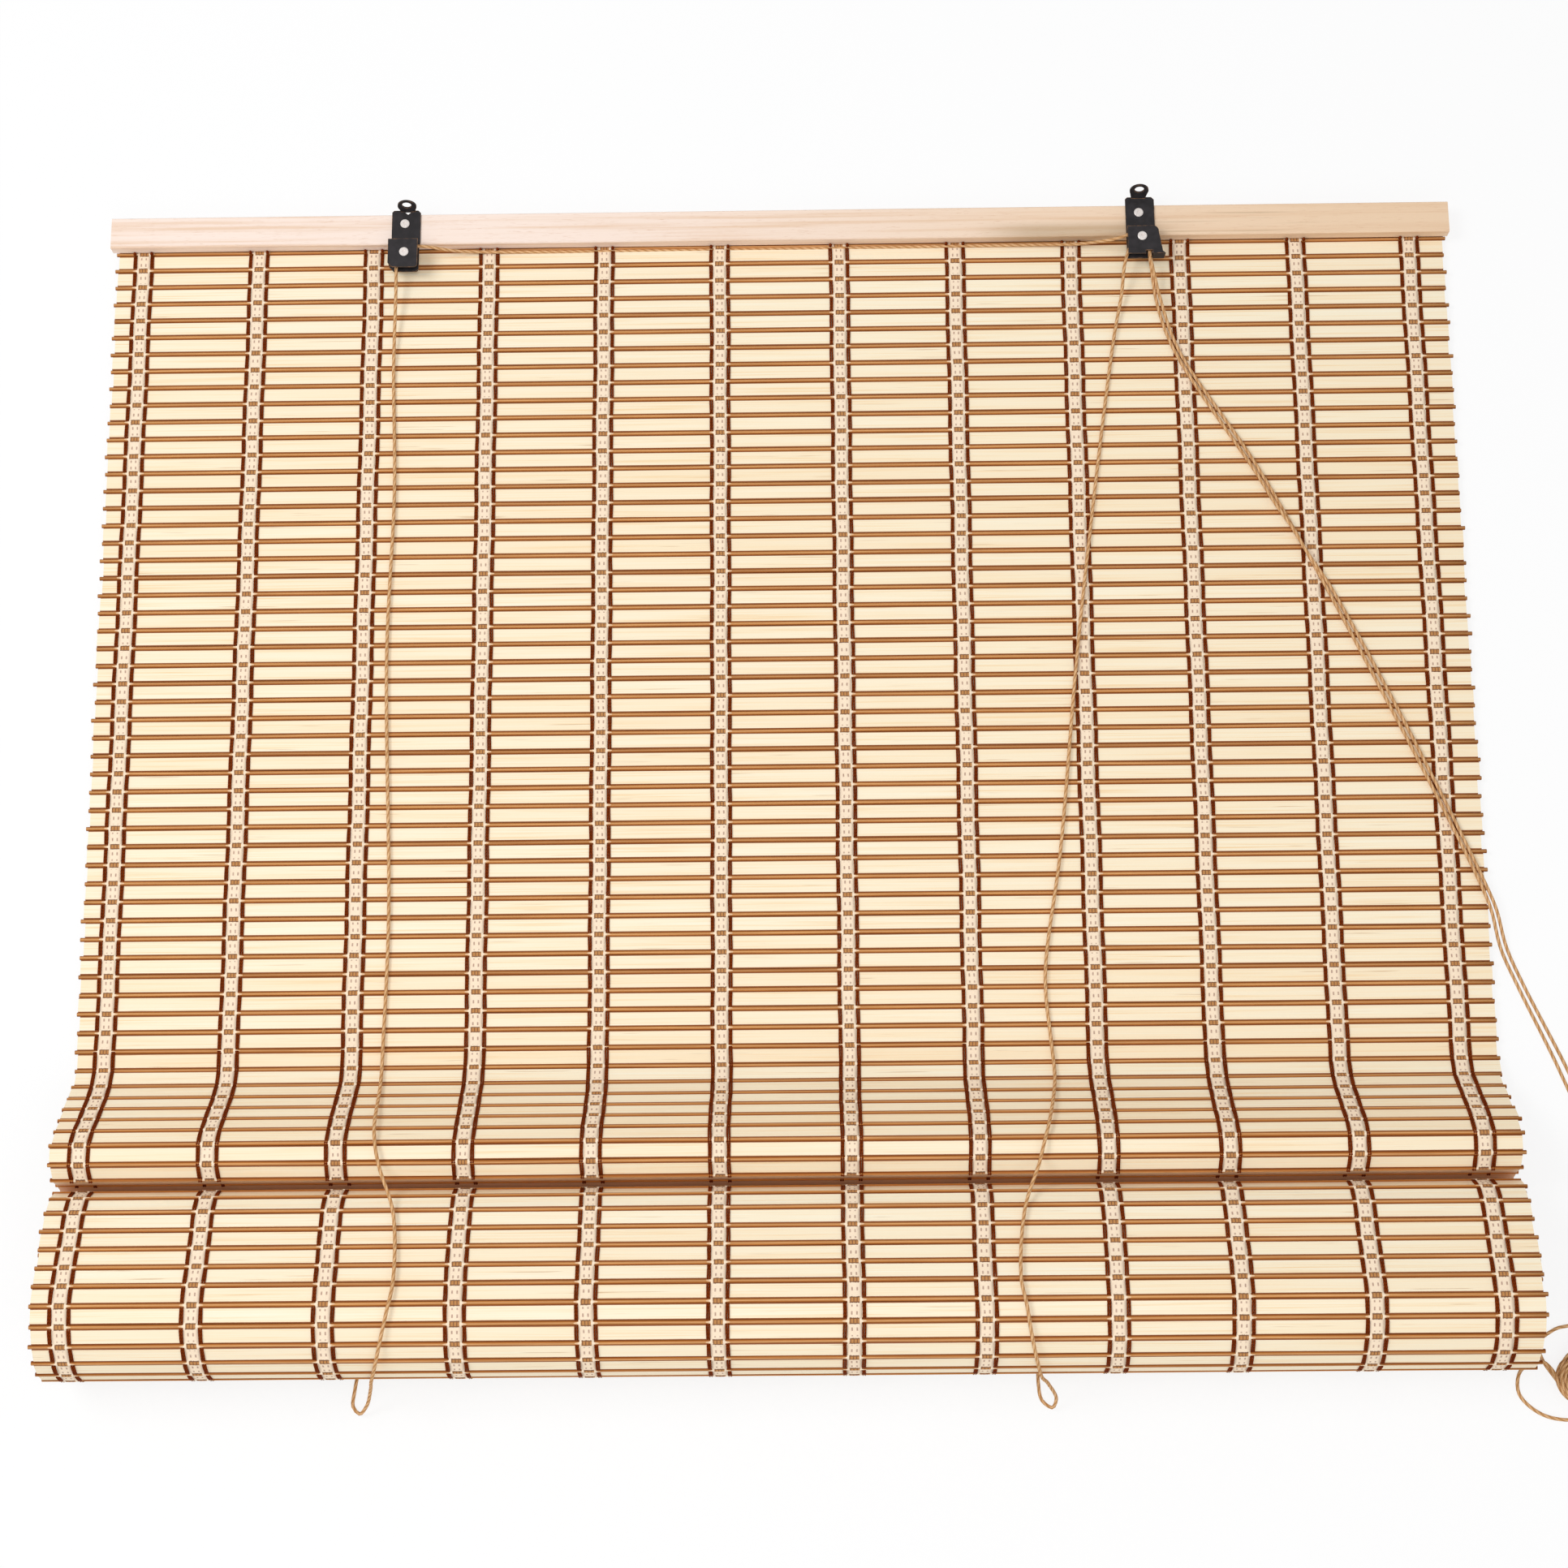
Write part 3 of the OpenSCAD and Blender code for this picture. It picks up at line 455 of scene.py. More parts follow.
def tubeMesh(name, lines, radius, sides, up=None, closed=False):
    whole = bmesh.new()
    for line in lines:
        line = np.asarray(line, float)
        side, over = ringFrames(line, up)
        rings = len(line)
        part = bmesh.new()
        bmesh.ops.create_grid(part, x_segments=sides, y_segments=rings - 1, size=1)
        mesh = bpy.data.meshes.new("tube")
        part.to_mesh(mesh)
        part.free()
        flat = np.zeros(len(mesh.vertices) * 3)
        mesh.vertices.foreach_get("co", flat)
        flat = flat.reshape(-1, 3)
        u = np.rint((flat[:, 0] + 1) / 2 * sides).astype(int)
        v = np.rint((flat[:, 1] + 1) / 2 * (rings - 1)).astype(int)
        angle = -2 * math.pi * (u % sides) / sides
        size = np.broadcast_to(radius, rings)[v] if np.ndim(radius) else np.full(len(v), radius)
        put = line[v] + size[:, None] * (np.cos(angle)[:, None] * side[v] + np.sin(angle)[:, None] * over[v])
        mesh.vertices.foreach_set("co", put.ravel())
        far = np.concatenate([[0], np.cumsum(np.linalg.norm(np.diff(line, axis=0), axis=1))])
        corner = np.zeros(len(mesh.loops), int)
        mesh.loops.foreach_get("vertex_index", corner)
        layer = mesh.uv_layers.new(name="lay")
        layer.uv.foreach_set("vector", np.stack([u[corner] / sides, far[v[corner]]], 1).ravel())
        whole.from_mesh(mesh)
        bpy.data.meshes.remove(mesh)
    bmesh.ops.remove_doubles(whole, verts=whole.verts, dist=1e-7)
    if not closed:
        bmesh.ops.holes_fill(whole, edges=[e for e in whole.edges if e.is_boundary], sides=sides)
    mesh = bpy.data.meshes.new(name)
    whole.to_mesh(mesh)
    whole.free()
    return mesh


# Joins a second mesh to the first
def addMesh(mesh, other):
    both = bmesh.new()
    both.from_mesh(mesh)
    both.from_mesh(other)
    both.to_mesh(mesh)
    both.free()
    bpy.data.meshes.remove(other)


# A smooth line through a route's points, sampled every few millimetres
def smoothLine(route):
    p = np.asarray(route, float)
    p = np.concatenate([[2 * p[0] - p[1]], p, [2 * p[-1] - p[-2]]])
    knots = np.concatenate([[0], np.cumsum(np.sqrt(np.linalg.norm(np.diff(p, axis=0), axis=1)))])
    found = []
    for i in range(1, len(p) - 2):
        count = max(1, int(round(np.linalg.norm(p[i + 1] - p[i]) / cordSet["step"])))
        t0, t1, t2, t3 = knots[i - 1 : i + 3]
        for t in np.linspace(t1, t2, count, endpoint=False):
            a1 = ((t1 - t) * p[i - 1] + (t - t0) * p[i]) / (t1 - t0)
            a2 = ((t2 - t) * p[i] + (t - t1) * p[i + 1]) / (t2 - t1)
            a3 = ((t3 - t) * p[i + 1] + (t - t2) * p[i + 2]) / (t3 - t2)
            b1 = ((t2 - t) * a1 + (t - t0) * a2) / (t2 - t0)
            b2 = ((t3 - t) * a2 + (t - t1) * a3) / (t3 - t1)
            found.append(((t2 - t) * b1 + (t - t1) * b2) / (t2 - t1))
    return np.array(found + [p[-2]])


# Cords: the routes are the source's own points
cordSet = {
    "diameter": 2.4,
    "sides": 10,
    "step": 3.0,
    "leftBack": [[-282, 16.5, 1.9], [-282.1, 10, 1.3], [-284, -150, 1.2], [-287, -400, 1.2],
        [-290, -650, 1.2]],
    "rightBack": [[262, 16.5, 1.9], [261.2, 10, 1.3], [244, -150, 1.2], [217, -400, 1.2], [190, -650, 1.2]],
}
coilSet = {
    "at": (541, -834),
    "radius": 14,
    "pitch": (2.45, 2.1),
    "foot": 1.25,
    "offset": 0.6,
    "steps": 24,
    "straight": 0.72,
}
knotSet = {
    "angle": 45,
    "radius": 22.35,
    "height": 3.0,
    "size": 0.62,
    "steps": 61,
    "cord": 1.12,
    "strands": 7,
    "strand": 0.38,
    "firstAngle": 52,
    "angleStep": 9,
    "reach": 6.2,
    "tall": 1.15,
    "points": 7,
    "curl": 0.7,
    "droop": 1.6,
}
tieSet = {
    "angle": 262,
    "turns": 2.2,
    "steps": 70,
    "out": 6.1,
    "high": 6.0,
    "square": 0.6,
    "slide": 1.3,
    "cord": 0.5,
}
tackSet = {"x": (-282, 262), "y": 19.5, "radius": 2.3, "steps": 60, "foot": 2.0, "rise": 0.16, "cord": 1.1}
leftRoute = [[-292, -812, 1.2], [-295.5, -836, 1.2], [-296.4, -847, 1.5], [-291.5, -852, 4],
    [-285.5, -847, 12], [-279.5, -836, 34], [-275.5, -832, 58], [-270.5, -822.5, 76.5], [-265.5, -806, 88.6],
    [-261, -787, 92.9], [-258, -768.5, 89], [-262, -721, 70], [-272.5, -692, 64.4], [-275.5, -679, 65.2],
    [-278, -664, 57.8], [-281, -631.5, 18.6], [-281.5, -620, 10.6], [-281.3, -600, 8.2],
    [-279.7, -510, 8.2], [-286, -315, 8.2], [-283.5, -190, 8.2], [-286.5, -95, 8.2], [-285, -36, 16.8],
    [-284.7, -9.8, 21.8]]
rightRoute = [[172, -812, 1.2], [171, -836, 1.2], [173, -846.5, 1.5], [179.5, -851.5, 4], [182, -846, 12],
    [175, -836, 34], [169, -832, 58], [165, -822.5, 76.5], [161, -806, 88.6], [158, -787, 92.9],
    [155, -768.5, 89], [160.5, -721, 70], [171, -692, 64.4], [174.5, -679, 65.2], [179, -664, 57.8],
    [187, -631.5, 18.6], [187.5, -620, 10.6], [186, -600, 8.2], [183.5, -555, 8.2], [197, -465, 8.2],
    [216, -300, 8.2], [248, -80, 8.2], [255, -44, 12], [257.2, -24, 19.6], [261, -12, 20.5]]
transferRoute = [[-284.7, -9.8, 21.8], [-282.8, -5.3, 21.8], [-278.3, -3.4, 21.8], [-262, -3.6, 21],
    [-243, -3.6, 13.5], [-222, -2.6, 8.4], [200, -2.4, 8.2], [225, -3.4, 11], [250, -4.6, 21.4],
    [259, -2.4, 23], [264.6, 0.6, 23], [270.2, 1.8, 23], [274.7, -0.1, 23], [276.6, -4.6, 23],
    [275.8, -12, 22.9], [275.9, -19, 22.5], [284, -52, 13.4]]
leftPullRoute = [[284, -52, 13.4], [296, -88, 8.4], [352, -184, 8.2], [436, -362, 8.2], [494, -497, 8.2],
    [499, -513, 7.9], [505, -539, 2.6], [516, -567, 1.2], [541, -627, 1.2], [550, -655, 1.2],
    [552, -740, 1.2], [541, -796, 1.2], [524, -802, 1.2], [512.5, -811, 1.2], [514, -821.5, 1.2]]
rightPullRoute = [[261, -12, 20.5], [263.4, -7.6, 20.5], [264.5, -1.6, 20.5], [267.3, 1.1, 20.5],
    [270.2, 1.8, 20.5], [274.7, -0.1, 20.5], [276.6, -4.6, 20.5], [275.8, -12, 20.3], [275.9, -19, 19.8],
    [281.4, -53.5, 10.8], [293.4, -89.5, 8.2], [349.4, -185.5, 8.2], [360, -207, 10.4], [373, -229, 11.4],
    [384, -250, 11], [397, -270, 8.4], [440, -361, 8.2], [497, -496, 8.2], [502.5, -512, 7.9],
    [509, -538, 2.6], [520, -566, 1.2], [546, -625, 1.2], [557, -655, 1.2], [561, -740, 1.2],
    [568, -830, 1.2], [548, -859, 1.2], [515, -860, 1.2], [497, -845, 1.2], [499, -829.5, 1.2],
    [513, -823.5, 3.9]]


# A point beside the coil's middle, at an angle, a distance and a height
def atCoil(angle, away, height):
    a = math.radians(angle)
    return [coilSet["at"][0] + away * math.cos(a), coilSet["at"][1] + away * math.sin(a), height]


# The stored ends: turns lie in rows of four, each row half a diameter across from the one below
def coilLine(turns, startAngle, tail):
    columnStep, rowStep = coilSet["pitch"]
    steps, straight = coilSet["steps"], coilSet["straight"]
    found = []
    spots = []
    for row, column in turns:
        across = (column - 1.5) * columnStep + (coilSet["offset"] if row % 2 else -coilSet["offset"])
        spots.append((coilSet["radius"] + across, coilSet["foot"] + row * rowStep))
    for k, (radius, height) in enumerate(spots):
        isLast = k == len(spots) - 1
        nextRadius, nextHeight = spots[k if isLast else k + 1]
        count = int(steps * (360 - startAngle) / 360) if isLast else steps
        for i in range(count):
            move = 0.0 if isLast else max(0.0, (i - steps * straight) / (steps * (1 - straight)))
            move = move * move * (3 - 2 * move)
            away = radius + (nextRadius - radius) * move
            found.append(atCoil(startAngle + 360 * i / steps, away, height + (nextHeight - height) * move))
    return found + [atCoil(*spot) for spot in tail]


leftTurns = [(0, 3), (0, 2), (0, 1), (0, 0), (1, 0), (1, 1), (1, 2), (1, 3), (2, 2), (2, 3)]
rightTurns = [(3, 3), (3, 2), (3, 1), (2, 1), (2, 0), (3, 0), (4, 0), (4, 1), (4, 2), (4, 3)]
leftCoil = coilLine(leftTurns, 195, [(2, 18.4, 5.0), (18, 20.2, 4.0), (33, 21.6, 3.2)])
rightCoil = coilLine(rightTurns, 205, [(2, 19.2, 9.0), (16, 21.4, 6.8), (31, 22.9, 4.6)])

cordLines = {
    "leftLiftCord": smoothLine(cordSet["leftBack"] + leftRoute),
    "rightLiftCord": smoothLine(cordSet["rightBack"] + rightRoute + rightPullRoute[1:9]),
    "transferCord": smoothLine(transferRoute[:-1]),
    "leftPullCord": smoothLine(transferRoute[-2:] + leftPullRoute[1:] + leftCoil),
    "rightPullCord": smoothLine(rightPullRoute[8:] + [[519.5, -829.5, 5.6]] + rightCoil),
}
for line in cordLines.values():
    line[:, 2] = np.maximum(line[:, 2], cordSet["diameter"] / 2)
stoodFor = {
    "leftLiftCord": ["left_lift_cord", "left_cord_behind"],
    "rightLiftCord": ["right_lift_cord", "right_cord_behind"],
    "transferCord": ["transfer_cord"],
    "leftPullCord": ["left_pull_cord", "cord_coil"],
    "rightPullCord": ["right_pull_cord", "cord_coil"],
}
for name, line in cordLines.items():
    mesh = tubeMesh(name, [toFrame(line)], cordSet["diameter"] / 2000, cordSet["sides"])
    newPiece(name, mesh, liftCordMaterial, stoodFor[name])

# The two pull cords end in one overhand knot, a trefoil line, with short frayed ends
turn = np.linspace(0, 2 * math.pi, knotSet["steps"])
trefoil = [np.sin(turn) + 2 * np.sin(2 * turn), np.cos(turn) - 2 * np.cos(2 * turn), -np.sin(3 * turn)]
knotAt = np.array(atCoil(knotSet["angle"], knotSet["radius"], knotSet["height"]))
knotLine = toFrame(np.stack(trefoil, 1) * knotSet["size"] * (1, 1, knotSet["tall"]) + knotAt)
strands = []
for k in range(knotSet["strands"]):
    out = math.radians(knotSet["firstAngle"] + knotSet["angleStep"] * k)
    along = np.linspace(0, 1, knotSet["points"])[:, None]
    way = np.array([math.cos(out), math.sin(out), 0])
    droop = (0, 0, 1) * (knotSet["curl"] * np.sin(along * 3 + k) - knotSet["droop"] * along)
    strands.append(toFrame(knotAt + way * (1 + knotSet["reach"] * along) + droop))
knotMesh = tubeMesh("pullKnot", [knotLine], knotSet["cord"] / 1000, 8, closed=True)
frayMesh = tubeMesh("pullFray", strands, knotSet["strand"] / 1000, 5)
addMesh(knotMesh, frayMesh)
pullKnot = newPiece("pullKnot", knotMesh, liftCordMaterial, ["cord_knot"])

# A thin tie holds the stored turns together, its turns are rounded squares round the coil's section
tieTurn = np.linspace(0, 2 * math.pi * tieSet["turns"], tieSet["steps"])
tieAngle = math.radians(tieSet["angle"])
tieWave = [np.sign(wave) * np.abs(wave) ** tieSet["square"] for wave in (np.cos(tieTurn), np.sin(tieTurn))]
tieOut = coilSet["radius"] + tieSet["out"] * tieWave[0]
tieHigh = tieSet["high"] + tieSet["high"] * tieWave[1]
slide = np.linspace(-tieSet["slide"], tieSet["slide"], tieSet["steps"])
tieLine = np.stack([coilSet["at"][0] + tieOut * math.cos(tieAngle) - slide * math.sin(tieAngle),
    coilSet["at"][1] + tieOut * math.sin(tieAngle) + slide * math.cos(tieAngle),
    np.maximum(tieHigh, tieSet["cord"])], 1)
tieMesh = tubeMesh("coilTie", [toFrame(tieLine)], tieSet["cord"] / 1000, 6)
coilTie = newPiece("coilTie", tieMesh, liftCordMaterial, ["cord_coil"])

# The lift cords are tied round their tacks behind the rail
loopTurn = np.linspace(-math.pi / 2, math.pi * 3.4, tackSet["steps"])
tied = []
for x in tackSet["x"]:
    across = x + tackSet["radius"] * np.cos(loopTurn)
    along = tackSet["y"] + tackSet["radius"] * np.sin(loopTurn)
    tied.append(toFrame(np.stack([across, along, tackSet["foot"] + tackSet["rise"] * loopTurn], 1)))
tiedMesh = tubeMesh("tiedEnds", tied, tackSet["cord"] / 1000, 8)
newPiece("tiedEnds", tiedMesh, liftCordMaterial, ["left_cord_behind", "right_cord_behind"])

print("cords ready")


# The mat's mid line runs flat, lifts, goes over the hump's crest and round the roll, as a belt round circles
matSet = {
    "width": 996,
    "pitch": 13.4,
    "reeds": 120,
    "reed": 3.0,
    "slat": 1.8,
    "lap": 0.2,
    "over": 1.5,
    "flatReeds": 46,
    "creaseReed": 55,
    "outerReed": 81,
    "height": 4.7,
    "flatLength": 624.4,
    "belt": [(-611, 34.7, 30), (-680, 42.2, -18)],
    "rear": (-732.5, 39.2, 34.5),
    "front": (-786.75, 46.45, 41.75),
    "turnGap": 6.5,
    "arcs": 10,
    "bevel": 0.45,
    "bow": 0.24,
    "reedSteps": 26,
    "slatSteps": 14,
}
circles = [np.array(c, float) for c in matSet["belt"]]
for k in range(matSet["arcs"]):
    y, z, r = matSet["front"] if k % 2 else matSet["rear"]
    circles.append(np.array([y, z, r - matSet["turnGap"] * (k // 2)], float))


# To the right of a heading
def sideOf(a):
    return np.array([math.sin(a), -math.cos(a)])


headings = [math.pi]
for first, second in zip(circles, circles[1:]):
    d = second[:2] - first[:2]
    raw = math.atan2(d[1], d[0]) + math.asin((second[2] - first[2]) / np.linalg.norm(d))
    swing = (headings[-1] - raw) % (2 * math.pi) if first[2] > 0 else -((raw - headings[-1]) % (2 * math.pi))
    headings.append(headings[-1] - swing)
runs = [(matSet["flatLength"], np.array([matSet["pitch"], matSet["height"]]), math.pi, 0.0)]
for k in range(len(circles) - 1):
    c, r = circles[k][:2], circles[k][2]
    start, end = c - r * sideOf(headings[k]), c - r * sideOf(headings[k + 1])
    following = circles[k + 1][:2] - circles[k + 1][2] * sideOf(headings[k + 1])
    runs.append((abs(r * (headings[k + 1] - headings[k])), start, headings[k], r))
    runs.append((np.linalg.norm(following - end), end, headings[k + 1], 0.0))


def onMidLine(s):
    for k, (length, start, heading, r) in enumerate(runs):
        if s <= length or k == len(runs) - 1:
            break
        s -= length
    if r == 0:
        return start + s * np.array([math.cos(heading), math.sin(heading)]), heading
    a = heading - s / r
    return start + r * (sideOf(heading) - sideOf(a)), a


spots = [onMidLine(i * matSet["pitch"]) for i in range(matSet["reeds"])]
reedAt = np.array([p for p, _ in spots])
reedWay = np.array([[math.cos(a), math.sin(a)] for _, a in spots])
chord = np.diff(reedAt, axis=0)
chordLength = np.linalg.norm(chord, axis=1)
slatWay = chord / chordLength[:, None]


# Across, along the mat and above its mid line, to a point of the frame
def onMat(x, at, way, t, h):
    y = at[..., 0] + t * way[..., 0] + h * way[..., 1]
    z = at[..., 1] + t * way[..., 1] - h * way[..., 0]
    return toFrame(np.stack([np.broadcast_to(x, y.shape), y, z], -1))


# One rod or bar along the mat's width, cut into steps, as a template for all of its kind
def barTemplate(name, length, steps, shape):
    bm = bmesh.new()
    shape(bm, length)
    longEdges = [e for e in bm.edges if abs(e.verts[0].co.x - e.verts[1].co.x) > length * 0.9]
    bmesh.ops.subdivide_edges(bm, edges=longEdges, cuts=steps - 1, use_grid_fill=True)
    mesh = bpy.data.meshes.new(name)
    bm.to_mesh(mesh)
    bm.free()
    return mesh


def reedShape(bm, length):
    radius = matSet["reed"] / 2
    bmesh.ops.create_cone(bm, cap_ends=True, segments=8, radius1=radius, radius2=radius, depth=length)
    bmesh.ops.rotate(bm, verts=bm.verts, cent=(0, 0, 0), matrix=Matrix.Rotation(math.pi / 2, 3, "Y"))


# A slat fills the room between two reeds and runs a little under each
slatWide = matSet["pitch"] - matSet["reed"] + 2 * matSet["lap"]


def slatShape(bm, length):
    bmesh.ops.create_cube(bm, size=1)
    bmesh.ops.scale(bm, verts=bm.verts, vec=(length, slatWide, matSet["slat"]))
    longEdges = [e for e in bm.edges if abs(e.verts[0].co.x - e.verts[1].co.x) > length * 0.9]
    bmesh.ops.bevel(
        bm, geom=longEdges, offset=matSet["bevel"], affect="EDGES", segments=1, profile=0.5, material=-1
    )


# How one bar differs from the next: the waves of its bow and their phases, its shift and its share of length,
# where its grain is cut from the wood, in metres, and the spread of its tone
varySet = {
    "turns": (0.6, 3.2),
    "phase": (0, 6.3),
    "shift": (-0.8, 0.8),
    "longer": (0.9992, 1.0012),
    "fromX": (0, 40),
    "fromH": (0, 1),
    "tone": (1.6, 2.6),
}


# Copies the template to every place in the list and gives each copy a slight bow and a tone of its own
def matBars(name, template, ids, at, way, stretch, material, stands, bow):
    whole = bmesh.new()
    for _ in ids:
        whole.from_mesh(template)
    mesh = bpy.data.meshes.new(name)
    whole.to_mesh(mesh)
    whole.free()
    count, each = len(ids), len(template.vertices)
    shape = np.zeros(each * 3)
    template.vertices.foreach_get("co", shape)
    x, t, h = shape.reshape(-1, 3).T
    turns = np.random.uniform(*varySet["turns"], (count, 3, 1)) * x / matSet["width"] * 2 * math.pi
    bends = np.sin(turns + np.random.uniform(*varySet["phase"], (count, 3, 1)))
    drift = bow * (0.6 * bends[:, 0] + 0.4 * bends[:, 1])
    lift = bow * 0.4 * bends[:, 2]
    shift = np.random.uniform(*varySet["shift"], (count, 1))
    longer = np.random.uniform(*varySet["longer"], (count, 1))
    ids = np.asarray(ids)
    t = t * np.ones((count, 1))
    onSheet = t * stretch[ids][:, None] + drift
    put = onMat(x * longer + shift, at[ids][:, None], way[ids][:, None], onSheet, h + lift)
    mesh.vertices.foreach_set("co", put.ravel())
    fromX = np.random.uniform(*varySet["fromX"], (count, 1))
    fromH = np.random.uniform(*varySet["fromH"], (count, 1))
    grain = np.stack([x / 1000 + fromX, t / 1000, h / 1000 + fromH], -1)
    mesh.attributes.new("grain", "FLOAT_VECTOR", "POINT").data.foreach_set("vector", grain.ravel())
    tone = np.repeat(np.random.beta(*varySet["tone"], count), each)
    mesh.attributes.new("tone", "FLOAT", "POINT").data.foreach_set("value", tone)
    return newPiece(name, mesh, material, stands)


reedTemplate = barTemplate("reed", matSet["width"], matSet["reedSteps"], reedShape)
slatTemplate = barTemplate("slat", matSet["width"] - 2 * matSet["over"], matSet["slatSteps"], slatShape)
plain = np.ones(matSet["reeds"])
slatStretch = (chordLength - matSet["reed"] + 2 * matSet["lap"]) / slatWide
slatMiddle = (reedAt[:-1] + reedAt[1:]) / 2
bow = matSet["bow"]
for part, node, first, last in (
    ("Flat", "mat_flat", 0, matSet["flatReeds"]),
    ("Roll", "mat_roll", matSet["flatReeds"], matSet["reeds"]),
):
    ids = list(range(first, last))
    matBars("reeds" + part, reedTemplate, ids, reedAt, reedWay, plain, reedMaterial, [node], bow)
    ids = [i for i in ids if i < matSet["reeds"] - 1]
    bars = matBars(
        "slats" + part, slatTemplate, ids, slatMiddle, slatWay, slatStretch, slatMaterial, [node], bow / 2
    )
    bars.data.polygons.foreach_set("use_smooth", [False] * len(bars.data.polygons))
print("reeds and slats ready")


# Woven bands: a pale tape with a tongue over each reed, and brown cords along both edges
bandSet = {
    "count": 12,
    "inset": 19.5,
    "width": 15,
    "shift": [1.2, 1.3, 0.8, 0.3, -0.2, -0.6, 1.8, 1.5, 1.1, -4.4, -4.8, -7.2],
    "tape": 9.6,
    "tapeLift": 0.3,
    "tapeDome": np.array([-0.16, -0.1, 0.05, 0.1, 0.05, -0.1, -0.16]),
    "cordRadius": 0.74,
    "cordInset": 1.15,
    "pairApart": 1.36,
    "stub": np.array([0.9, 1.2, 1.25, 1.2, 0.95, 0.4]) / 1000,
    "stubFoot": (-0.75, 6.5),
    "stubStep": (0.1, 0.65),
    "sway": (0.22, 0.9),
    "tapeSway": (0.18, 2.7),
    "cordSway": (0.12, 3.1),
    "seedStep": 1.7,
}
bandPitch = (matSet["width"] - 2 * bandSet["inset"]) / (bandSet["count"] - 1)
half = matSet["reed"] / 2
slatTop = matSet["slat"] / 2


# A band's rows are millimetres from a reed, from the next reed when negative, or shares of the slat between.
# The lists below give single rows a height over the mat's mid line and a tongue, the rest lie on the slat.
tapeRows = [(0.0, "reed"), (0.45, "reed"), (0.9, "reed")]
tapeRows += [(share, "slat") for share in (0.15, 0.21, 0.5, 0.79, 0.85)]
tapeRows += [(-0.9, "reed"), (-0.45, "reed")]
tapeHeights = {0.0: half + 0.22, 0.45: half + 0.12, -0.45: half + 0.12}
tapeHeights.update({0.9: half, -0.9: half, 0.15: 1.25, 0.85: 1.25})
tongueReach = {0.0: 3.3, 0.45: 2.8, -0.45: 2.8}
cordRows = [(0.0, "reed")] + [(share, "slat") for share in (0.13, 0.19, 0.5, 0.81, 0.87)]
cordHeights = {0.0: -half - 0.25, 0.13: 0.0, 0.87: 0.0, 0.19: slatTop + 0.5}


# Each row's reed, way along the mat, distance from there, step and place along the band counted in reeds
def bandRows(first, last, rows):
    at, way, t, steps, along = [], [], [], [], []
    for i in range(first, last):
        for step, sort in rows:
            if sort == "slat":
                at.append(reedAt[i])
                way.append(slatWay[i])
                t.append(step * chordLength[i])
                along.append(i + step)
            else:
                reed = i if step >= 0 else i + 1
                at.append(reedAt[reed])
                way.append(reedWay[reed])
                t.append(step)
                along.append(i + (step if step >= 0 else matSet["pitch"] + step) / matSet["pitch"])
            steps.append(step)
    return np.array(at), np.array(way), np.array(t), steps, np.array(along)


# How far a band wavers sideways, by a size in millimetres and a rate per reed
def sway(kind, along, phase):
    size, rate = bandSet[kind]
    return size * np.sin(along * rate + phase)


# One side's tape: its outermost columns stand out over the reeds as tongues
def tapeStrip(first, last, face, middle, seed):
    at, way, t, steps, along = bandRows(first, last, tapeRows)
    rows = len(at)
    part = bmesh.new()
    bmesh.ops.create_grid(part, x_segments=6, y_segments=rows - 1, size=1)
    mesh = bpy.data.meshes.new("strip")
    part.to_mesh(mesh)
    part.free()
    flat = np.zeros(len(mesh.vertices) * 3)
    mesh.vertices.foreach_get("co", flat)
    flat = flat.reshape(-1, 3)
    u = np.rint((flat[:, 0] + 1) * 3).astype(int)
    v = np.rint((flat[:, 1] + 1) / 2 * (rows - 1)).astype(int)
    edge = bandSet["tape"] / 2
    columns = np.array([-edge, -edge, -edge * 0.5, 0, edge * 0.5, edge, edge])
    x = columns[u]
    reach = np.array([tongueReach.get(step, 0.0) for step in steps])[v]
    x = x + reach * ((u == 6).astype(float) - (u == 0))
    high = np.array([tapeHeights.get(step, slatTop + bandSet["tapeLift"]) for step in steps])[v]
    high = high + bandSet["tapeDome"][u]
    wave = sway("sway", along, seed) + sway("tapeSway", along, 2 * seed)
    put = onMat(middle + x + wave[v], at[v], way[v], t[v], face * high)
    mesh.vertices.foreach_set("co", put.ravel())
    weave = np.stack([x, along[v], np.full(len(x), seed)], 1)
    mesh.attributes.new("weave", "FLOAT_VECTOR", "POINT").data.foreach_set("vector", weave.ravel())
    if face > 0:
        mesh.flip_normals()
    return mesh


# A line of an edge cord, which dips under the reeds, or lies plainly over them on the mat's hidden side
def edgeLine(first, last, face, x, seed, plainRows=False):
    at, way, t, steps, along = bandRows(first, last, cordRows[::3] if plainRows else cordRows)
    if plainRows:
        high = np.array([half + 0.2 if step == 0.0 else slatTop + 0.5 for step in steps])
    else:
        high = np.array([cordHeights.get(step, slatTop + 0.55) for step in steps])
    side = x + sway("sway", along, seed) + sway("cordSway", along, x)
    return onMat(side, at, way, t, face * high)


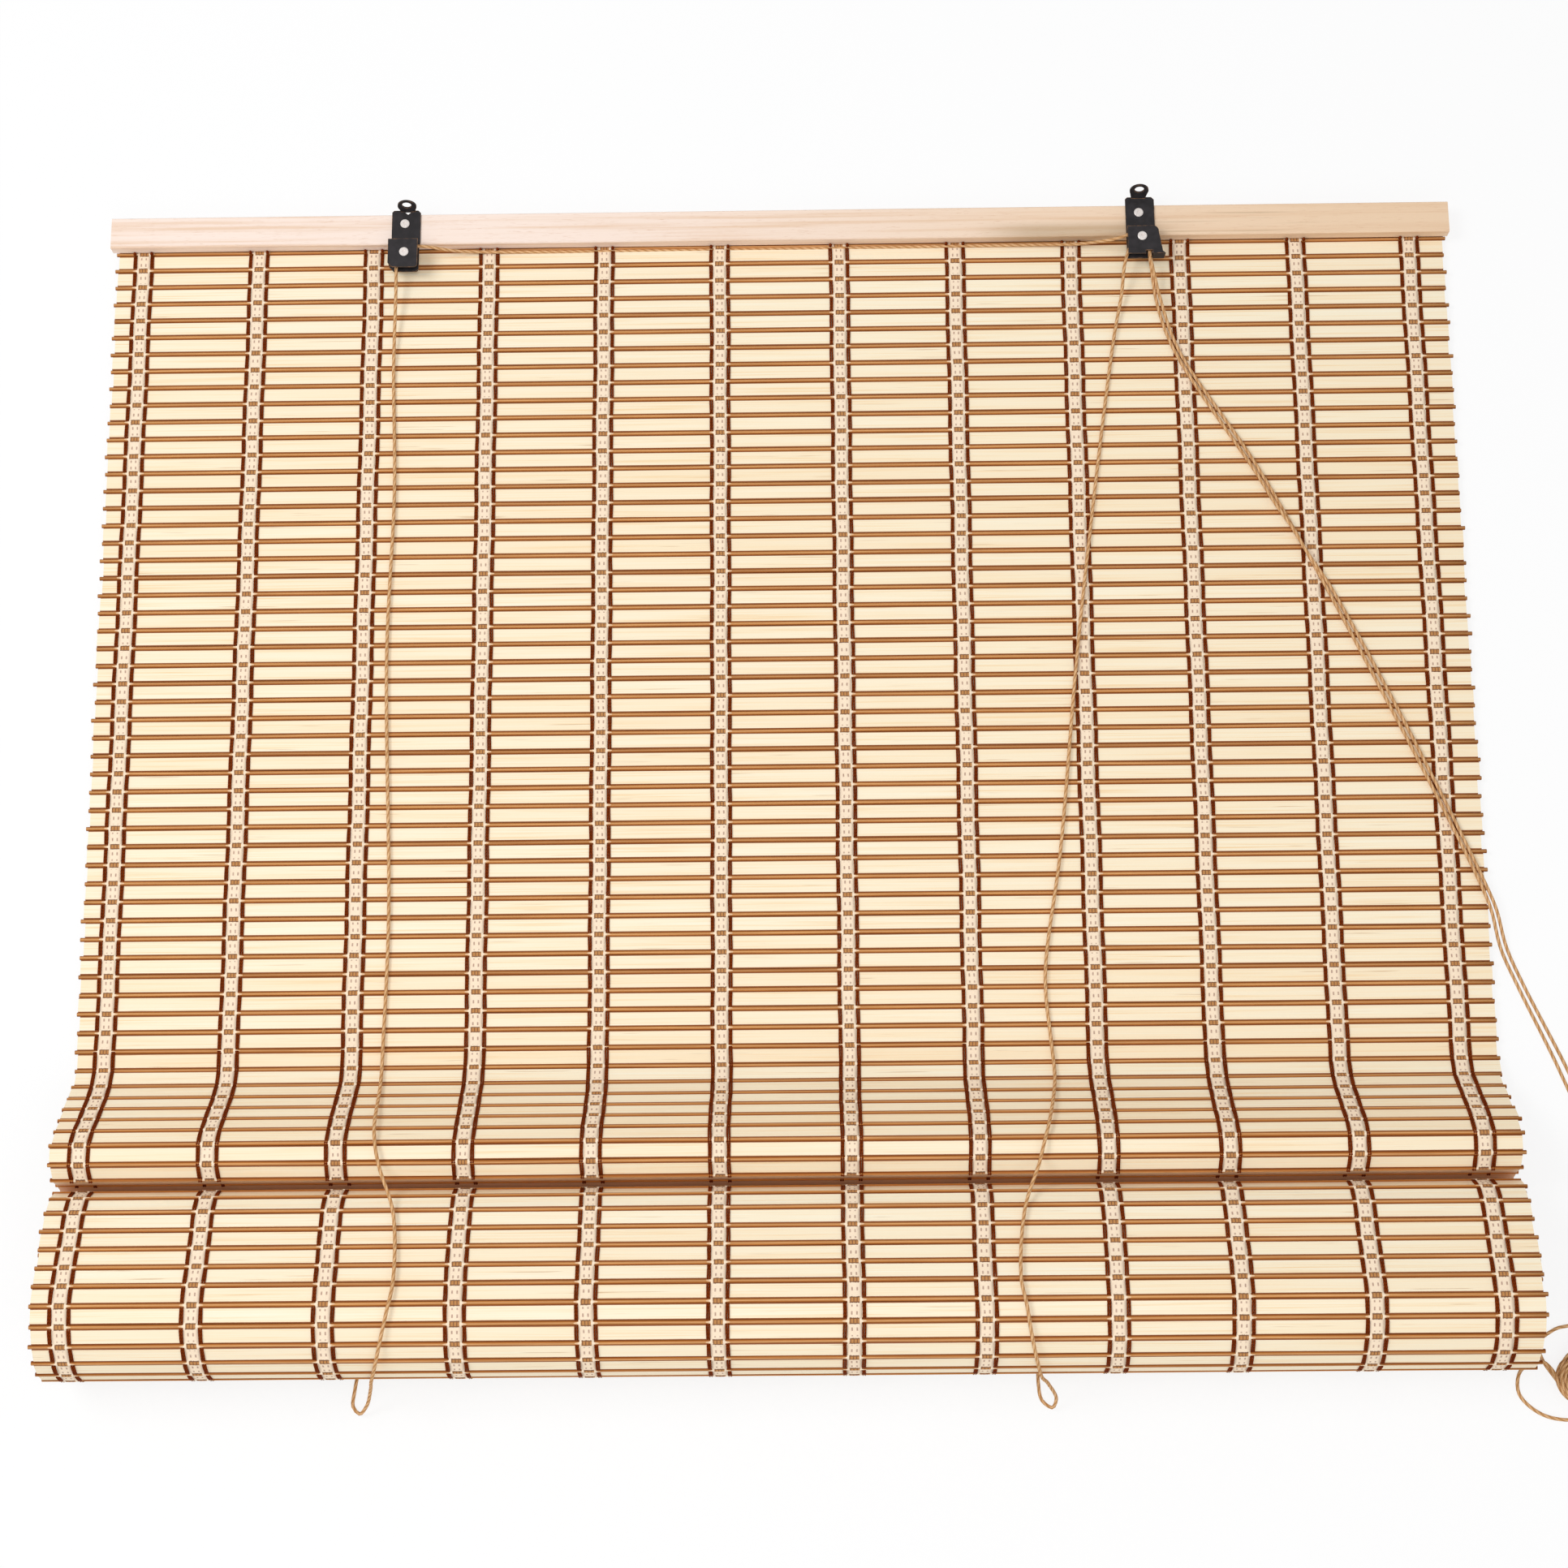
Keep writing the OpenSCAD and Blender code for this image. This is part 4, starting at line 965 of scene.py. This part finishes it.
acrossMat = (1, 0, 0)
for k in range(bandSet["count"]):
    middle = (k + 0.5 - bandSet["count"] / 2) * bandPitch + bandSet["shift"][k]
    seed = k * bandSet["seedStep"]
    mesh = tapeStrip(0, matSet["creaseReed"], 1, middle, seed)
    addMesh(mesh, tapeStrip(0, matSet["outerReed"], -1, middle, seed))
    newPiece("tape" + str(k + 1), mesh, tapeMaterial, ["woven_band_" + str(k + 1)])
    lines, stubLines = [], []
    for side in (-1, 1):
        edge = middle + side * (bandSet["width"] / 2 - bandSet["cordInset"])
        for pair in (-0.5, 0.5):
            x = edge + pair * bandSet["pairApart"]
            lines.append(edgeLine(0, matSet["creaseReed"], 1, x, seed))
            lines.append(edgeLine(matSet["flatReeds"], matSet["outerReed"], -1, x, seed))
            if pair > 0:
                lines.append(edgeLine(0, matSet["flatReeds"] + 1, -1, x - 0.5, seed, True))
        # At the rail each pair ends in a rounded stub that stands against its lower face
        foot, rise = np.array(bandSet["stubFoot"]), np.array(bandSet["stubStep"])
        stubLines.append(toFrame([[edge, *(foot + rise * i)] for i in range(len(bandSet["stub"]))]))
    mesh = tubeMesh("edgeCords", lines, bandSet["cordRadius"] / 1000, 6, acrossMat)
    addMesh(mesh, tubeMesh("stubs", stubLines, bandSet["stub"], 10, acrossMat))
    newPiece("edgeCords" + str(k + 1), mesh, edgeCordMaterial, ["warp_cords_" + str(k + 1)])
print("bands ready")


# The rigid parts keep their own shapes and get their finishes
nodeFinish = {
    "head_rail": beechMaterial,
    "pulley_bracket": steelMaterial,
    "lock_bracket": steelMaterial,
    "pulley_wheel": nylonMaterial,
    "lock_wheel": nylonMaterial,
    "pulley_axle": zincMaterial,
    "lock_axle": zincMaterial,
    "pulley_screw": zincMaterial,
    "lock_screw": zincMaterial,
    "lock_roller": zincMaterial,
    "rail_staples": zincMaterial,
    "cord_tacks": zincMaterial,
}
for name, material in nodeFinish.items():
    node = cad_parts[name]
    node.data.materials.clear()
    node.data.materials.append(material)
print("rigid parts finished")

# Floor and light: a white table, an even white sky, a key lamp from the left, a fill in front and one above
lightSet = {
    "sky": 0.52,
    "floor": "#FCFCFD",
    "show": 0.8,
    "size": 6,
    "underX": (0.47, 0.485),
    "underY": (0.385, 0.4),
}
lampSet = {
    "keyLamp": {"energy": 24, "at": (-1.5, 0.3, 2.3), "size": 1.2},
    "fillLamp": {"energy": 9, "at": (0.3, -2.1, 1.7), "size": 1.8},
    "topLamp": {"energy": 13, "at": (0.1, -0.35, 2.7), "size": 0.7},
}
bm = bmesh.new()
bmesh.ops.create_grid(bm, x_segments=1, y_segments=1, size=lightSet["size"])
floorMesh = bpy.data.meshes.new("floor")
bm.to_mesh(floorMesh)
bm.free()
floor = bpy.data.objects.new("floor", floorMesh)
scene.collection.objects.link(floor)


# A matt white table: the camera and mirrored rays see it nearly white, all else sees it lit with its shadows.
# Under the mat it is only lit, so that no white shows between the slats.
def whiteTable(add):
    lit = add("BsdfDiffuse", {"Color": lightSet["floor"]})
    white = add("Emission", {"Color": (1, 1, 1, 1), "Strength": 1.0})
    camera, glossy, clear = add("LightPath", out=("Is Camera Ray", "Is Glossy Ray", "Is Transmission Ray"))
    seen = add("Math", camera, add("Math", glossy, clear, **larger), **larger)
    across, along = add("SeparateXYZ", add("TexCoord", out="Object"), out=(0, 1))
    across = add("Math", across, **absolute)
    along = add("Math", along, **absolute)
    across = add("MapRange", across, *lightSet["underX"], 0.0, lightSet["show"], **smooth)
    along = add("MapRange", along, *lightSet["underY"], 0.0, lightSet["show"], **smooth)
    share = add("Math", seen, add("Math", across, along, **larger), **times)
    return add("MixShader", share, lit, white)


floorMesh.materials.append(newMaterial("whiteTable", whiteTable))

world = bpy.data.worlds.new("studio")
scene.world = world
world.use_nodes = True
world.node_tree.nodes.clear()
add = partial(addNode, world.node_tree)
sky = add("Background", {"Color": (1, 1, 1, 1), "Strength": lightSet["sky"]})
bright = add("Background", {"Color": (1, 1, 1, 1), "Strength": 1.0})
add("OutputWorld", {"Surface": add("MixShader", add("LightPath", out="Is Camera Ray"), sky, bright)})

for name, values in lampSet.items():
    lamp = bpy.data.objects.new(name, bpy.data.lights.new(name, "AREA"))
    scene.collection.objects.link(lamp)
    lamp.data.energy = values["energy"]
    lamp.data.shape = "DISK"
    lamp.data.size = values["size"]
    lamp.location = values["at"]
    lamp.rotation_mode = "QUATERNION"
    lamp.rotation_quaternion = (-Vector(values["at"])).to_track_quat("-Z", "Y")  # Towards the frame's origin
print("floor and light ready")
